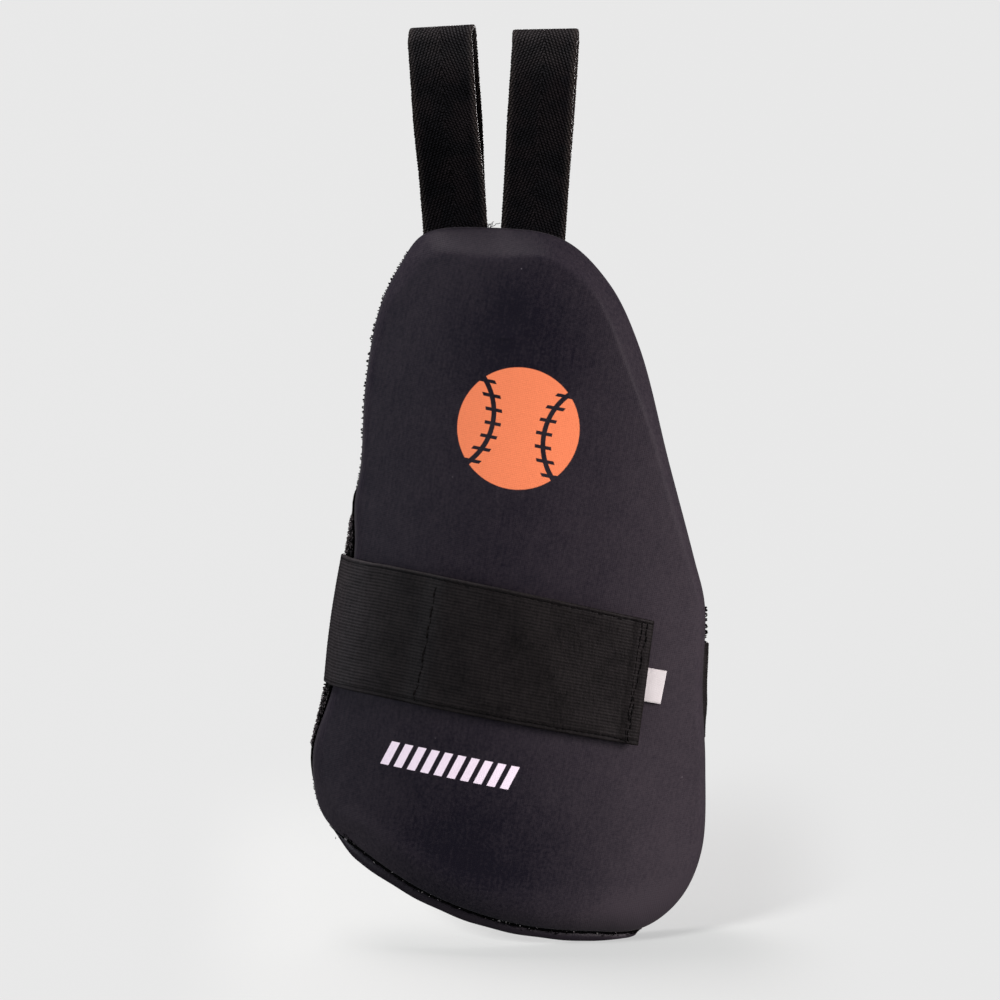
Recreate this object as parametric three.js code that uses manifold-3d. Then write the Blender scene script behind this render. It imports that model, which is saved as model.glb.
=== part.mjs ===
// Inner thigh pad for batting: moulded foam in a stretch cover, with a towelling back.
// Two webbing loops hang it from the waist belt, and one elastic strap holds it to the leg.
// Millimetres, +Z up, the front of the pad towards -Y. The origin is on the belt, between the loops.

import * as THREE from 'three';
import Module from 'manifold-3d';

const wasm = await Module();
wasm.setup();

const GAP = 0.45; // between neighbouring pieces

// The pad has a frame of its own: X goes across the leg, Z along it, and Y towards the thigh.
const PAD = {
  thickness: 15, // foam and cover on the plateau
  bendRadius: 135, // curve round the thigh
  bowRadius: 1100, // slower curve along the leg
  bowCentre: 60, // where along the leg the bow starts to turn back
  softStart: 0.7, // share of the bevel that is a straight slope before it rounds off
  softEnd: 1.3, // share of the bevel where the plateau begins
  tilt: 11, // degrees that the pad leans as it hangs
  place: { x: 15, y: -6, z: -216.6 }, // its frame, below the belt
};

const TOWEL = 2.4; // thickness of the back panel
// The towelling's edge starts inside the cover's edge. From its full roll it comes forward over the rim,
// and where it has no roll it lies flush, a little inside, and comes forward the least. Its front leans
// back a little, and its back corner is cut off by a share of the thickness.
const LIP = { fullRoll: 0.5, flush: -1.7, least: 0.05, start: -3, frontLean: 0.05, cornerShare: 0.33 };

// Steps of the surfaces: round the edge, along the strap, round the loops and over the small sheets.
const EDGE_STEPS = 84;
const STRAP_STEPS = { hook: 9, cover: 2, behind: 8, pocket: 6, columns: 4 };
const LOOP_STEPS = { leg: 9, fold: 8, columns: 4, pocket: 6 };
const POCKET_DEPTH_STEPS = 4;
const HOOK_STEPS = { along: 12, across: 4 };
const LABEL_STEPS = { along: 4, across: 3 };

// The cover's edge, clockwise from the top left corner. The bevel is the slope inside the edge: flat,
// with a crease above it, or turned round by the given share. The rim is the thickness at the edge.
// The towelling comes forward by the wrap over the side of the rim and stands out from it by the roll.
const EDGE = [
  { at: 'top left corner', x: -68.5, z: 131.5, bevel: 8, rim: 6, round: 0.2, wrap: 0, roll: 0 },
  { at: 'top middle', x: -43.5, z: 139, bevel: 11.5, rim: 6, round: 0, wrap: 0, roll: 0 },
  { at: 'top right corner', x: -16, z: 140, bevel: 12, rim: 6, round: 0, wrap: 0, roll: 0 },
  { at: 'right shoulder', x: 4.5, z: 127, bevel: 12, rim: 6, round: 0, wrap: 0, roll: 0 },
  { at: 'right upper side', x: 20.5, z: 105.5, bevel: 9.5, rim: 6.5, round: 0, wrap: 0, roll: 0 },
  { at: 'right side', x: 40.5, z: 63.5, bevel: 5, rim: 8, round: 0.5, wrap: 0, roll: 0 },
  { at: 'right bend', x: 57.1, z: 29, bevel: 4.5, rim: 9, round: 1, wrap: 0, roll: 0 },
  { at: 'right hip', x: 64.7, z: 12, bevel: 4.5, rim: 9, round: 1, wrap: 0, roll: 0 },
  { at: 'strap seam', x: 70.3, z: -21, bevel: 4.5, rim: 9, round: 1, wrap: 0, roll: 0 },
  { at: 'right flank', x: 77.1, z: -49.5, bevel: 4.5, rim: 9, round: 1, wrap: 0, roll: 0 },
  { at: 'right heel', x: 82.3, z: -83.5, bevel: 5, rim: 8, round: 1, wrap: 0, roll: 0 },
  { at: 'toe corner', x: 77.6, z: -103.2, bevel: 7, rim: 6, round: 1, wrap: 0, roll: 0 },
  { at: 'hem right end', x: 65.2, z: -116.6, bevel: 9, rim: 4.5, round: 1, wrap: 0, roll: 0 },
  { at: 'hem right', x: 45, z: -121, bevel: 11, rim: 4, round: 1, wrap: 0, roll: 0 },
  { at: 'hem middle', x: 16.5, z: -123, bevel: 12, rim: 4, round: 1, wrap: 0, roll: 0 },
  { at: 'hem left', x: -18, z: -118, bevel: 12, rim: 4, round: 1, wrap: 0, roll: 0 },
  { at: 'hem left end', x: -46.5, z: -106.8, bevel: 11, rim: 4.5, round: 1, wrap: 0, roll: 0 },
  { at: 'left heel', x: -64, z: -97, bevel: 8, rim: 6, round: 1, wrap: 0, roll: 0 },
  { at: 'left flank', x: -72.5, z: -74.5, bevel: 5, rim: 8, round: 1, wrap: 1.5, roll: 0.5 },
  { at: 'below strap', x: -69.8, z: -45.5, bevel: 4, rim: 8, round: 1, wrap: 3, roll: 1.2 },
  { at: 'above strap', x: -71.5, z: 5, bevel: 4, rim: 8, round: 1, wrap: 3, roll: 1.6 },
  { at: 'left hollow', x: -75.2, z: 24.8, bevel: 4, rim: 8, round: 1, wrap: 3, roll: 0.5 },
  { at: 'left waist', x: -75.5, z: 38, bevel: 4, rim: 8, round: 1, wrap: 0, roll: 0 },
  { at: 'left upper side', x: -79.8, z: 70.5, bevel: 4, rim: 8, round: 0.8, wrap: 0, roll: 0 },
  { at: 'left shoulder', x: -80, z: 100, bevel: 4.5, rim: 7.5, round: 0.5, wrap: 0, roll: 0 },
  { at: 'left brow', x: -75.5, z: 117.5, bevel: 6, rim: 7, round: 0.3, wrap: 0, roll: 0 },
];
const SPINE = { top: new THREE.Vector2(-28, 92), foot: new THREE.Vector2(6, -68) };

const HEM = {
  // It runs past these rows of the edge, by a share of a row, and stands out below the cover's edge.
  from: { row: 'hem right end', past: 0.15, height: 3.5 },
  to: { row: 'hem left end', past: 0.8, height: 4.6 },
  forward: 0.7, // its middle lies this far in front of the pad's inner face
  endShare: 0.3, // its size at the two ends
  endSteps: 2, // edge steps over which it grows to full size
};
// A cut through the hem: share of its height, and half its thickness there.
const HEM_CUT = [
  { out: 0, half: 2.1 },
  { out: 0.35, half: 2.3 },
  { out: 0.75, half: 1.8 },
  { out: 1, half: 0.8 },
];

const WEBBING = {
  width: 25,
  thickness: 1.4,
  tab: 12, // length sewn into the top seam
  seam: 1.8, // the fold's middle, in front of the pad's inner face
  sewnHalf: 0.85, // from the fold's middle to each leg where they are sewn together
  openHalf: 5.2, // and higher up, where the belt goes
  openShare: 0.65, // share of the height where the loop is fully open and square to the belt
  seamZ: -74, // height of the seam below the belt
};
// Each loop leans out from the seam to the belt. At the top it turns a few degrees with the waist, and
// its right edge rises above the left by a share of the width.
const LOOPS = [
  { name: 'loop_left', seamX: -15.2, topX: -20.2, topY: 3, topZ: 5.4, turn: 6, rise: 0.06 },
  { name: 'loop_right', seamX: 14.6, topX: 19.4, topY: -2, topZ: 4.4, turn: 5, rise: 0.02 },
];

// Room round the sewn ends: on all sides, for the lean, and past the edge where the pocket opens.
const LOOP_POCKET = { spare: 0.8, lean: 1.2, past: 8 };

const STRAP = {
  thickness: 1.5,
  centreZ: -21, // the middle of its width, in the pad's frame
  foldWidth: 50, // where it goes round the left edge
  endWidth: 48.5,
  sewnWidth: 38, // drawn in where it is sewn
  sewnCentreZ: -21,
  foldBulge: 1.45, // how far the middle of the left turn stands out, and its upper end
  foldLean: 1.1,
  endX: 47.7, // the free end on the front, and how far it is out of square
  endSlant: 3.15,
  arch: 1.2, // how far the upper edge is bowed upwards on the front
  foldLength: 6, // end turned under and stitched
  foldExtra: 0.7,
  foldStep: 0.8, // length of the step down from the fold
  lie: 0.5, // clearance to the cover where nothing is underneath
  tab: 9, // length sewn into the right side seam
  lead: 4, // cover in front of the left turn
  sag: 6, // slack of the stretch behind the pad
};
// The strap's way round the left edge, from the cover's edge there: across, and towards the back.
const STRAP_LEFT_TURN = [
  { x: 7.5, y: -21.2 },
  { x: 5.3, y: -19.9 },
  { x: 3.3, y: -18.6 },
  { x: 2, y: -17.5 },
  { x: 0.8, y: -16 },
  { x: -0.3, y: -13.8 },
  { x: -0.9, y: -11.9 },
  { x: -1.5, y: -8.4 },
  { x: -2.3, y: -5.4 },
  { x: -3, y: -2.6 },
  { x: -3.3, y: 0.8 },
  { x: -2.9, y: 3.6 },
  { x: -1.6, y: 5.3 },
  { x: 1.6, y: 5.9 },
];
// The strap's turn out of the right side seam, measured along and square to the pad's inner face.
const STRAP_RIGHT_TURN = { inset: 1.3, behind: 1.3, radius: 2.55, steps: 6 };

const STRAP_POCKET = { spare: 0.9, depth: 3.1, past: 4 }; // room round the sewn end, as for the loops

const HOOK = {
  fromX: -35,
  toX: 39,
  width: 43,
  thickness: 1.6,
  climbStart: 7, // the strap starts to climb this far before the patch
  climbEnd: 1,
};
const LABEL = { width: 7.8, tucked: 4, height: 13, thickness: 0.8, lift: 0.45, centreZ: -21.6 };

const COLOURS = {
  front_pad: { color: 0x26242d, roughness: 0.82 },
  back_panel: { color: 0x0f0f11, roughness: 0.95 },
  bottom_hem: { color: 0x1d1b1f, roughness: 0.85 },
  loop_left: { color: 0x121112, roughness: 0.8 },
  loop_right: { color: 0x121112, roughness: 0.8 },
  leg_strap: { color: 0x171614, roughness: 0.78 },
  hook_patch: { color: 0x0e0e0e, roughness: 0.7 },
  size_label: { color: 0xf0ebe8, roughness: 0.6 },
};

const { clamp, degToRad, lerp, smoothstep } = THREE.MathUtils;
const spread = (from, to, steps) => Array.from({ length: steps + 1 }, (_, i) => lerp(from, to, i / steps));

// Closed bodies from rings and from pairs of grids

function closedGeometry(points, triangles) {
  const geometry = new THREE.BufferGeometry().setFromPoints(points);
  const volume = triangles.reduce((sum, [a, b, c]) => {
    return sum + points[a].dot(new THREE.Vector3().crossVectors(points[b], points[c]));
  }, 0);
  const outward = volume > 0 ? triangles : triangles.map(([a, b, c]) => [a, c, b]);
  geometry.setIndex(outward.flat());
  geometry.computeVertexNormals();
  return geometry;
}

// Pairs of steps down both sides of a ring, from its crown to the point opposite.
const rungs = (count, crown) => Array.from({ length: count / 2 }, (_, i) => {
  return [i, i + 1, -i, -i - 1].map((step) => (crown + step + count) % count);
});

// Nested rings of equal, even count, with the first and the last ring filled in by rungs.
function ringBody(rings, crown) {
  const count = rings[0].length;
  const points = rings.flat();
  const triangles = [];
  for (let start = 0; start < points.length - count; start += count) {
    for (let i = 0; i < count; i += 1) {
      const [a, b] = [start + i, start + ((i + 1) % count)];
      const [c, d] = [b + count, a + count];
      const cutShort = points[a].distanceTo(points[c]) < points[b].distanceTo(points[d]);
      triangles.push(...(cutShort ? [[a, b, c], [a, c, d]] : [[a, b, d], [b, c, d]]));
    }
  }
  const lastStart = points.length - count;
  for (const [right, nextRight, left, nextLeft] of rungs(count, crown)) {
    const faces = [[right, nextRight, nextLeft], [right, nextLeft, left]];
    for (const [a, b, c] of faces.filter((face) => new Set(face).size === 3)) {
      triangles.push([c, b, a], [lastStart + a, lastStart + b, lastStart + c]);
    }
  }
  return closedGeometry(points, triangles);
}

// A sheet with two faces, each a grid of points in rows, joined all round.
function sheetBody(face, back) {
  const [rows, columns] = [face.length, face[0].length];
  const points = [...face.flat(), ...back.flat()];
  const behind = rows * columns;
  const triangles = [];
  const quad = (a, b, c, d) => triangles.push([a, b, c], [a, c, d]);
  for (let i = 0; i + 1 < rows; i += 1) {
    const [row, nextRow] = [i * columns, (i + 1) * columns];
    for (let j = 0; j + 1 < columns; j += 1) {
      const [a, b, c, d] = [row + j, row + j + 1, nextRow + j + 1, nextRow + j];
      quad(a, b, c, d);
      quad(behind + d, behind + c, behind + b, behind + a);
    }
    const end = columns - 1;
    quad(nextRow, behind + nextRow, behind + row, row);
    quad(row + end, behind + row + end, behind + nextRow + end, nextRow + end);
  }
  for (let j = 0; j + 1 < columns; j += 1) {
    const top = (rows - 1) * columns + j;
    quad(j, behind + j, behind + j + 1, j + 1);
    quad(top + 1, behind + top + 1, behind + top, top);
  }
  return closedGeometry(points, triangles);
}

function solidOf(geometry) {
  const vertProperties = geometry.getAttribute('position').array;
  const triVerts = Uint32Array.from(geometry.index.array);
  return new wasm.Manifold(new wasm.Mesh({ numProp: 3, vertProperties, triVerts }));
}

function cutAway(geometry, cutters) {
  const body = cutters.reduce((left, cutter) => left.subtract(solidOf(cutter)), solidOf(geometry));
  const { vertProperties, triVerts } = body.getMesh();
  const cut = new THREE.BufferGeometry();
  cut.setAttribute('position', new THREE.BufferAttribute(vertProperties, 3));
  cut.setIndex(new THREE.BufferAttribute(triVerts, 1));
  cut.computeVertexNormals();
  return cut;
}

// The pad's surfaces, in its own frame

const innerFace = (x, z) => {
  const bend = PAD.bendRadius - Math.sqrt(PAD.bendRadius ** 2 - x ** 2);
  const bow = (z - PAD.bowCentre) ** 2 / (2 * PAD.bowRadius);
  return bend + bow;
};
const bendSlope = (x) => x / Math.sqrt(PAD.bendRadius ** 2 - x ** 2);

// The rise across the bevel, from 0 at the edge to 1 on the plateau: a slope with a soft upper corner,
// or a quarter round.
function rise(share, round) {
  const soft = clamp(share, PAD.softStart, PAD.softEnd) - PAD.softStart;
  const slope = Math.min(share, PAD.softEnd) - soft ** 2 / (2 * (PAD.softEnd - PAD.softStart));
  const quarter = Math.sqrt(1 - (1 - Math.min(share, 1)) ** 2);
  return lerp(slope, quarter, round);
}
const thickness = (edge, share) => lerp(edge.rim, PAD.thickness, rise(share, edge.round));

function edgePoints() {
  const corners = EDGE.map(({ x, z }) => new THREE.Vector3(x, 0, z));
  const curve = new THREE.CatmullRomCurve3(corners, true, 'centripetal');
  return Array.from({ length: EDGE_STEPS }, (_, i) => {
    const share = curve.getUtoTmapping(i / EDGE_STEPS);
    const place = curve.getPoint(share);
    const run = curve.getTangent(share);
    const from = Math.floor(share * EDGE.length);
    const [row, next] = [EDGE[from], EDGE[(from + 1) % EDGE.length]];
    const blend = smoothstep(share * EDGE.length - from, 0, 1);
    const between = (key) => lerp(row[key], next[key], blend);
    return {
      row: share * EDGE.length,
      x: place.x,
      z: place.z,
      inward: new THREE.Vector2(run.z, -run.x).normalize(),
      bevel: between('bevel'),
      rim: between('rim'),
      round: between('round'),
      wrap: between('wrap'),
      roll: between('roll'),
    };
  });
}
const edge = edgePoints();
const upwards = SPINE.top.clone().sub(SPINE.foot);
const reach = ({ x, z }) => upwards.dot(new THREE.Vector2(x, z));
const crown = edge.reduce((best, point, i) => (reach(point) > reach(edge[best]) ? i : best), 0);

const inset = ({ x, z, inward }, distance) => [x + inward.x * distance, z + inward.y * distance];

// A point drawn from the edge towards the spine of the pad by the given share.
function towardsSpine(x, z, share) {
  const axis = SPINE.foot.clone().sub(SPINE.top);
  const along = clamp(new THREE.Vector2(x, z).sub(SPINE.top).dot(axis) / axis.lengthSq(), 0, 1);
  const target = SPINE.top.clone().addScaledVector(axis, along);
  return [lerp(x, target.x, share), lerp(z, target.y, share)];
}

const liftRing = (places, depth) => {
  return places.map(([x, z], i) => new THREE.Vector3(x, innerFace(x, z) + depth(edge[i]), z));
};

// The cover's front face anywhere inside the edge.
function frontFace(x, z) {
  let nearest = { distance: Infinity };
  for (const point of edge) {
    const distance = Math.hypot(point.x - x, point.z - z);
    if (distance < nearest.distance) nearest = { distance, point };
  }
  return innerFace(x, z) - thickness(nearest.point, nearest.distance / nearest.point.bevel);
}

// The pad and its back

const PLATEAU_SHARES = [0.94, 0.78, 0.62, 0.46, 0.3, 0.15];
const BEVEL_SHARES = [PAD.softEnd, 1, PAD.softStart, 0.4, 0.15, 0];

function frontPad() {
  const plateauEdge = edge.map((point) => inset(point, point.bevel * PAD.softEnd));
  const plateau = PLATEAU_SHARES.map((share) => {
    const places = plateauEdge.map(([x, z]) => towardsSpine(x, z, share));
    return liftRing(places, () => -PAD.thickness);
  });
  const bevel = BEVEL_SHARES.map((share) => {
    const places = edge.map((point) => inset(point, point.bevel * share));
    return liftRing(places, (point) => -thickness(point, share));
  });
  const inner = [0, ...PLATEAU_SHARES.toReversed()].map((share) => {
    return liftRing(edge.map(({ x, z }) => towardsSpine(x, z, share)), () => 0);
  });
  return ringBody([...plateau, ...bevel, ...inner], crown);
}

function backPanel() {
  const shell = (depth) => (share) => {
    return liftRing(edge.map(({ x, z }) => towardsSpine(x, z, share)), () => depth);
  };
  const rolled = (i) => edge.at(i % edge.length).roll >= LIP.fullRoll;
  const lip = edge.map(({ wrap, roll }, i) => {
    const side = lerp(LIP.flush, GAP, Math.min(roll / LIP.fullRoll, 1));
    const forward = rolled(i - 1) && rolled(i) && rolled(i + 1) ? wrap : LIP.least;
    return { side, outer: side + Math.max(roll, GAP), front: GAP - forward };
  });
  const lipRing = (out, depth) => {
    const places = edge.map((point, i) => inset(point, -out(lip[i])));
    return places.map(([x, z], i) => new THREE.Vector3(x, innerFace(x, z) + depth(lip[i]), z));
  };
  return ringBody([
    ...PLATEAU_SHARES.map(shell(GAP)),
    lipRing(() => LIP.start, () => GAP),
    lipRing(({ side }) => side, () => GAP),
    lipRing(({ side }) => side, ({ front }) => front),
    lipRing(({ outer }) => outer, ({ front }) => front + LIP.frontLean),
    lipRing(({ outer }) => outer, () => GAP + TOWEL / 2),
    lipRing(({ outer }) => outer - TOWEL * LIP.cornerShare, () => GAP + TOWEL),
    lipRing(() => LIP.start, () => GAP + TOWEL),
    ...PLATEAU_SHARES.toReversed().map(shell(GAP + TOWEL)),
  ], crown);
}

function bottomHem() {
  const rowOf = (end) => EDGE.findIndex(({ at }) => at === end.row);
  const [from, to] = [rowOf(HEM.from) - HEM.from.past, rowOf(HEM.to) + HEM.to.past];
  const run = edge.filter(({ row }) => row > from && row < to);
  const face = (side) => run.map((point, i) => {
    const fromEnd = Math.min(i, run.length - 1 - i);
    const taper = lerp(HEM.endShare, 1, Math.min(fromEnd / HEM.endSteps, 1));
    const height = taper * lerp(HEM.from.height, HEM.to.height, i / (run.length - 1));
    return HEM_CUT.map(({ out, half }) => {
      const [x, z] = inset(point, -GAP - out * height);
      return new THREE.Vector3(x, innerFace(x, z) - HEM.forward + side * half * taper, z);
    });
  });
  return sheetBody(face(-1), face(1));
}

// The strap, the patch under it and the label at its end

// Where a line across the pad meets its edge, on the left or on the right.
function edgeAcross(z, side) {
  const crossings = edge.flatMap((point, i) => {
    const next = edge[(i + 1) % edge.length];
    if ((point.z - z) * (next.z - z) > 0) return [];
    return [lerp(point.x, next.x, (z - point.z) / (next.z - point.z))];
  });
  return side * Math.max(...crossings.map((x) => side * x));
}

// Clearance between the cover and the strap, which climbs onto the hook patch.
const strapLift = (x) => {
  const climb = smoothstep(x, HOOK.fromX - HOOK.climbStart, HOOK.fromX - HOOK.climbEnd);
  return lerp(STRAP.lie, HOOK.thickness + 2 * GAP, climb);
};

// The strap's way for one line of its width: free end, front, left turn, behind, and into the seam.
function strapPath(across) {
  const place = (width) => STRAP.centreZ + across * width;
  const foldZ = place(STRAP.foldWidth);
  const sewnZ = STRAP.sewnCentreZ + across * STRAP.sewnWidth;
  const standOff = STRAP.foldBulge * (1 - (2 * across) ** 2) + STRAP.foldLean * (across + 0.5);
  const left = edgeAcross(foldZ, -1) - standOff;
  const right = edgeAcross(sewnZ, 1);
  const end = STRAP.endX - across * STRAP.endSlant;
  const foldStart = end - STRAP.foldLength;
  const fold = [end, foldStart, foldStart - STRAP.foldStep];
  const onHook = spread(HOOK.toX, HOOK.fromX - HOOK.climbEnd, STRAP_STEPS.hook);
  const turnStart = left + STRAP_LEFT_TURN[0].x + STRAP.lead;
  const onCover = spread(HOOK.fromX - HOOK.climbStart, turnStart, STRAP_STEPS.cover);

  const front = [...fold, ...onHook, ...onCover].map((x) => {
    const way = (x - left) / (end - left);
    const width = lerp(STRAP.foldWidth, STRAP.endWidth, way);
    const extra = x >= foldStart ? STRAP.foldExtra : 0;
    const z = place(width) + STRAP.arch * (across + 0.5) * Math.sin(Math.PI * way);
    return { x, z, extra, y: frontFace(x, z) - strapLift(x) - STRAP.thickness / 2 };
  });
  const leftTurn = STRAP_LEFT_TURN.map(({ x, y }) => {
    return { x: left + x, z: foldZ, extra: 0, y: innerFace(left, foldZ) + y };
  });

  const slope = Math.atan(bendSlope(right));
  const [outX, outY] = [Math.cos(slope), Math.sin(slope)];
  const { inset: turnInset, behind, radius, steps } = STRAP_RIGHT_TURN;
  const rightTurn = spread(Math.PI, 0, steps).map((angle) => {
    const out = radius * Math.sin(angle) - turnInset;
    const back = behind - radius * Math.cos(angle);
    return {
      x: right + out * outX - back * outY,
      z: sewnZ,
      extra: 0,
      y: innerFace(right, sewnZ) + out * outY + back * outX,
    };
  });
  const tab = [STRAP.tab / 2, STRAP.tab].map((depth) => {
    const x = right - depth;
    return { x, z: sewnZ, extra: 0, y: innerFace(x, sewnZ) - (radius - behind) / outX };
  });

  const [turnEnd, seamStart] = [leftTurn.at(-1), rightTurn[0]];
  const behindPad = spread(0, 1, STRAP_STEPS.behind).slice(1, -1).map((share) => ({
    x: lerp(turnEnd.x, seamStart.x, share),
    z: lerp(foldZ, sewnZ, share),
    extra: 0,
    y: lerp(turnEnd.y, seamStart.y, share) + STRAP.sag * Math.sin(Math.PI * share),
  }));
  return [...front, ...leftTurn, ...behindPad, ...rightTurn, ...tab];
}

function legStrap() {
  const paths = spread(-0.5, 0.5, STRAP_STEPS.columns).map(strapPath);
  const face = (side) => paths[0].map((_, i) => paths.map((path) => {
    const [before, after] = [path[Math.max(i - 1, 0)], path[Math.min(i + 1, path.length - 1)]];
    const here = path[i];
    const run = new THREE.Vector2(after.x - before.x, after.y - before.y).normalize();
    const offset = side * (STRAP.thickness / 2) + (side > 0 ? here.extra : 0);
    return new THREE.Vector3(here.x - run.y * offset, here.y + run.x * offset, here.z);
  }));
  return sheetBody(face(1), face(-1));
}

// A sheet that lies on the cover, between two heights above it.
function sheetOnCover(xs, zs, low, high) {
  const face = (lift) => xs.map((x) => zs.map((z) => new THREE.Vector3(x, frontFace(x, z) - lift, z)));
  return sheetBody(face(high), face(low));
}

function hookPatch() {
  const half = HOOK.width / 2;
  const zs = spread(STRAP.centreZ - half, STRAP.centreZ + half, HOOK_STEPS.across);
  return sheetOnCover(spread(HOOK.fromX, HOOK.toX, HOOK_STEPS.along), zs, GAP, GAP + HOOK.thickness);
}

function sizeLabel() {
  const xs = spread(STRAP.endX - LABEL.tucked, STRAP.endX + LABEL.width, LABEL_STEPS.along);
  const half = LABEL.height / 2;
  const zs = spread(LABEL.centreZ - half, LABEL.centreZ + half, LABEL_STEPS.across);
  return sheetOnCover(xs, zs, LABEL.lift, LABEL.lift + LABEL.thickness);
}

// The pocket in the foam that the strap's sewn end goes into.
function strapPocket() {
  const { depth: pocketDepth, past, spare } = STRAP_POCKET;
  const half = STRAP.sewnWidth / 2 + spare;
  const zs = spread(STRAP.sewnCentreZ - half, STRAP.sewnCentreZ + half, STRAP_STEPS.pocket);
  const face = (depth) => zs.map((z) => {
    const right = edgeAcross(z, 1);
    return spread(-STRAP.tab - spare, past, POCKET_DEPTH_STEPS).map((out) => {
      const x = right + out;
      return new THREE.Vector3(x, innerFace(x, z) + depth, z);
    });
  });
  return sheetBody(face(-pocketDepth), face(TOWEL));
}

// The belt loops, in the part's frame

const pad = new THREE.Group();
pad.position.set(PAD.place.x, PAD.place.y, PAD.place.z);
pad.rotation.y = degToRad(PAD.tilt);
pad.updateMatrixWorld(true);

// The pad's inner face seen from the part's frame.
function innerFaceAt(x, z) {
  const own = pad.worldToLocal(new THREE.Vector3(x, PAD.place.y, z));
  return innerFace(own.x, own.z) + PAD.place.y;
}

const loopTop = ({ topZ }) => topZ - WEBBING.openHalf - WEBBING.thickness / 2 - WEBBING.seamZ;
const opened = (loop, height) => smoothstep(height / loopTop(loop), 0, WEBBING.openShare);

// A point of a loop: height above the seam, place in the width, and distance from the fold's middle
// towards the front and upwards.
function loopPoint(loop, height, across, out, up) {
  const share = height / loopTop(loop);
  const turn = degToRad(loop.turn) * opened(loop, height);
  const middle = lerp(loop.seamX, loop.topX, share);
  const sewnY = innerFaceAt(middle + across, WEBBING.seamZ + Math.min(height, 0)) - WEBBING.seam;
  const topY = loop.topY - across * Math.sin(degToRad(loop.turn));
  return new THREE.Vector3(
    middle + across * Math.cos(turn) - out * Math.sin(turn),
    lerp(sewnY, topY, opened(loop, height)) - out * Math.cos(turn),
    WEBBING.seamZ + height + up + across * loop.rise * Math.max(share, 0),
  );
}

function beltLoop(loop) {
  const { openHalf, sewnHalf, tab, width } = WEBBING;
  const top = loopTop(loop);
  const leg = [-tab, -tab / 2, ...spread(0, top, LOOP_STEPS.leg)].map((height) => {
    return { height, half: lerp(sewnHalf, openHalf, opened(loop, height)) };
  });
  const fold = spread(0, Math.PI, LOOP_STEPS.fold).slice(1, -1);
  const stations = [
    ...leg.map((at) => ({ ...at, angle: 0 })),
    ...fold.map((angle) => ({ height: top, half: openHalf, angle })),
    ...leg.toReversed().map((at) => ({ ...at, angle: Math.PI })),
  ];
  const columns = spread(-width / 2, width / 2, LOOP_STEPS.columns);
  const face = (side) => stations.map(({ height, half, angle }) => columns.map((across) => {
    const radius = half + side * (WEBBING.thickness / 2);
    return loopPoint(loop, height, across, radius * Math.cos(angle), radius * Math.sin(angle));
  }));
  return sheetBody(face(1), face(-1));
}

// The pocket in the foam that a loop's sewn ends go into, in the pad's frame.
function loopPocket(loop) {
  const { lean, past, spare } = LOOP_POCKET;
  const half = WEBBING.width / 2 + spare + lean;
  const pocketDepth = WEBBING.seam + WEBBING.sewnHalf + WEBBING.thickness / 2 + spare;
  const face = (depth) => spread(-WEBBING.tab - spare, past, POCKET_DEPTH_STEPS).map((height) => {
    const z = WEBBING.seamZ + height;
    return spread(loop.seamX - half, loop.seamX + half, LOOP_STEPS.pocket).map((x) => {
      return pad.worldToLocal(new THREE.Vector3(x, innerFaceAt(x, z) + depth, z));
    });
  });
  return sheetBody(face(-pocketDepth), face(TOWEL));
}

// Assembly

const thighPad = new THREE.Group();
thighPad.add(pad);

function addPiece(parent, name, geometry) {
  const material = new THREE.MeshStandardMaterial({ ...COLOURS[name], metalness: 0 });
  const mesh = new THREE.Mesh(geometry, material);
  mesh.name = name;
  parent.add(mesh);
}

addPiece(pad, 'front_pad', cutAway(frontPad(), [strapPocket(), ...LOOPS.map(loopPocket)]));
addPiece(pad, 'back_panel', backPanel());
addPiece(pad, 'bottom_hem', bottomHem());
addPiece(pad, 'leg_strap', legStrap());
addPiece(pad, 'hook_patch', hookPatch());
addPiece(pad, 'size_label', sizeLabel());
for (const loop of LOOPS) {
  addPiece(thighPad, loop.name, beltLoop(loop));
}

export default thighPad;
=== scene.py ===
# %% [markdown]
# # An inner thigh pad
#
# A batter wears this pad on the inside of the thigh. It is moulded foam in a dark stretch cover, with a
# towelling back, two belt loops of webbing, and one wide elastic strap that goes round the leg and is
# fastened over the front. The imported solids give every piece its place. Each one is made again here as
# the soft thing that it is, in millimetres, and turned into metres when its mesh is made.

# %% Load the frame
import math

import bmesh
import bpy
import numpy as np
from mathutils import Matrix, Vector


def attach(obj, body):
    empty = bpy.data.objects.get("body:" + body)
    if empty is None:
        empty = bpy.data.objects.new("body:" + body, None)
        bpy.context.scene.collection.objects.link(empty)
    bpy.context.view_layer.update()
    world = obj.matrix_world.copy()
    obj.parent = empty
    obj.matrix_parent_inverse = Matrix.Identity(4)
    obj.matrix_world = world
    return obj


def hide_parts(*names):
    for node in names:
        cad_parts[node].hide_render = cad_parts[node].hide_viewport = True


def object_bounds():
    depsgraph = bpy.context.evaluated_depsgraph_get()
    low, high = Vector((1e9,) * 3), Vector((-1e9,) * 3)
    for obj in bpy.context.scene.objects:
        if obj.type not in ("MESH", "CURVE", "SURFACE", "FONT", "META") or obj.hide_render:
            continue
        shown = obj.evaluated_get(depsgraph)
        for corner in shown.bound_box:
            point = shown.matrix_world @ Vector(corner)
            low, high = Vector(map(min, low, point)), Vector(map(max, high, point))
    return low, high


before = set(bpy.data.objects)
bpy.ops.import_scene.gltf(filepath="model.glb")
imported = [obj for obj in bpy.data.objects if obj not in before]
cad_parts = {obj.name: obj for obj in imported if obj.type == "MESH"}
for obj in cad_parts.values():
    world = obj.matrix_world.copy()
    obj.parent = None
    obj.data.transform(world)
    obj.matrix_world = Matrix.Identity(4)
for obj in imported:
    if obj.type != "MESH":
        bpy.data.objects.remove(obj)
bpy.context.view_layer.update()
MM = 0.001
rng = np.random.default_rng(17)
print("nodes:", sorted(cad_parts))

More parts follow.
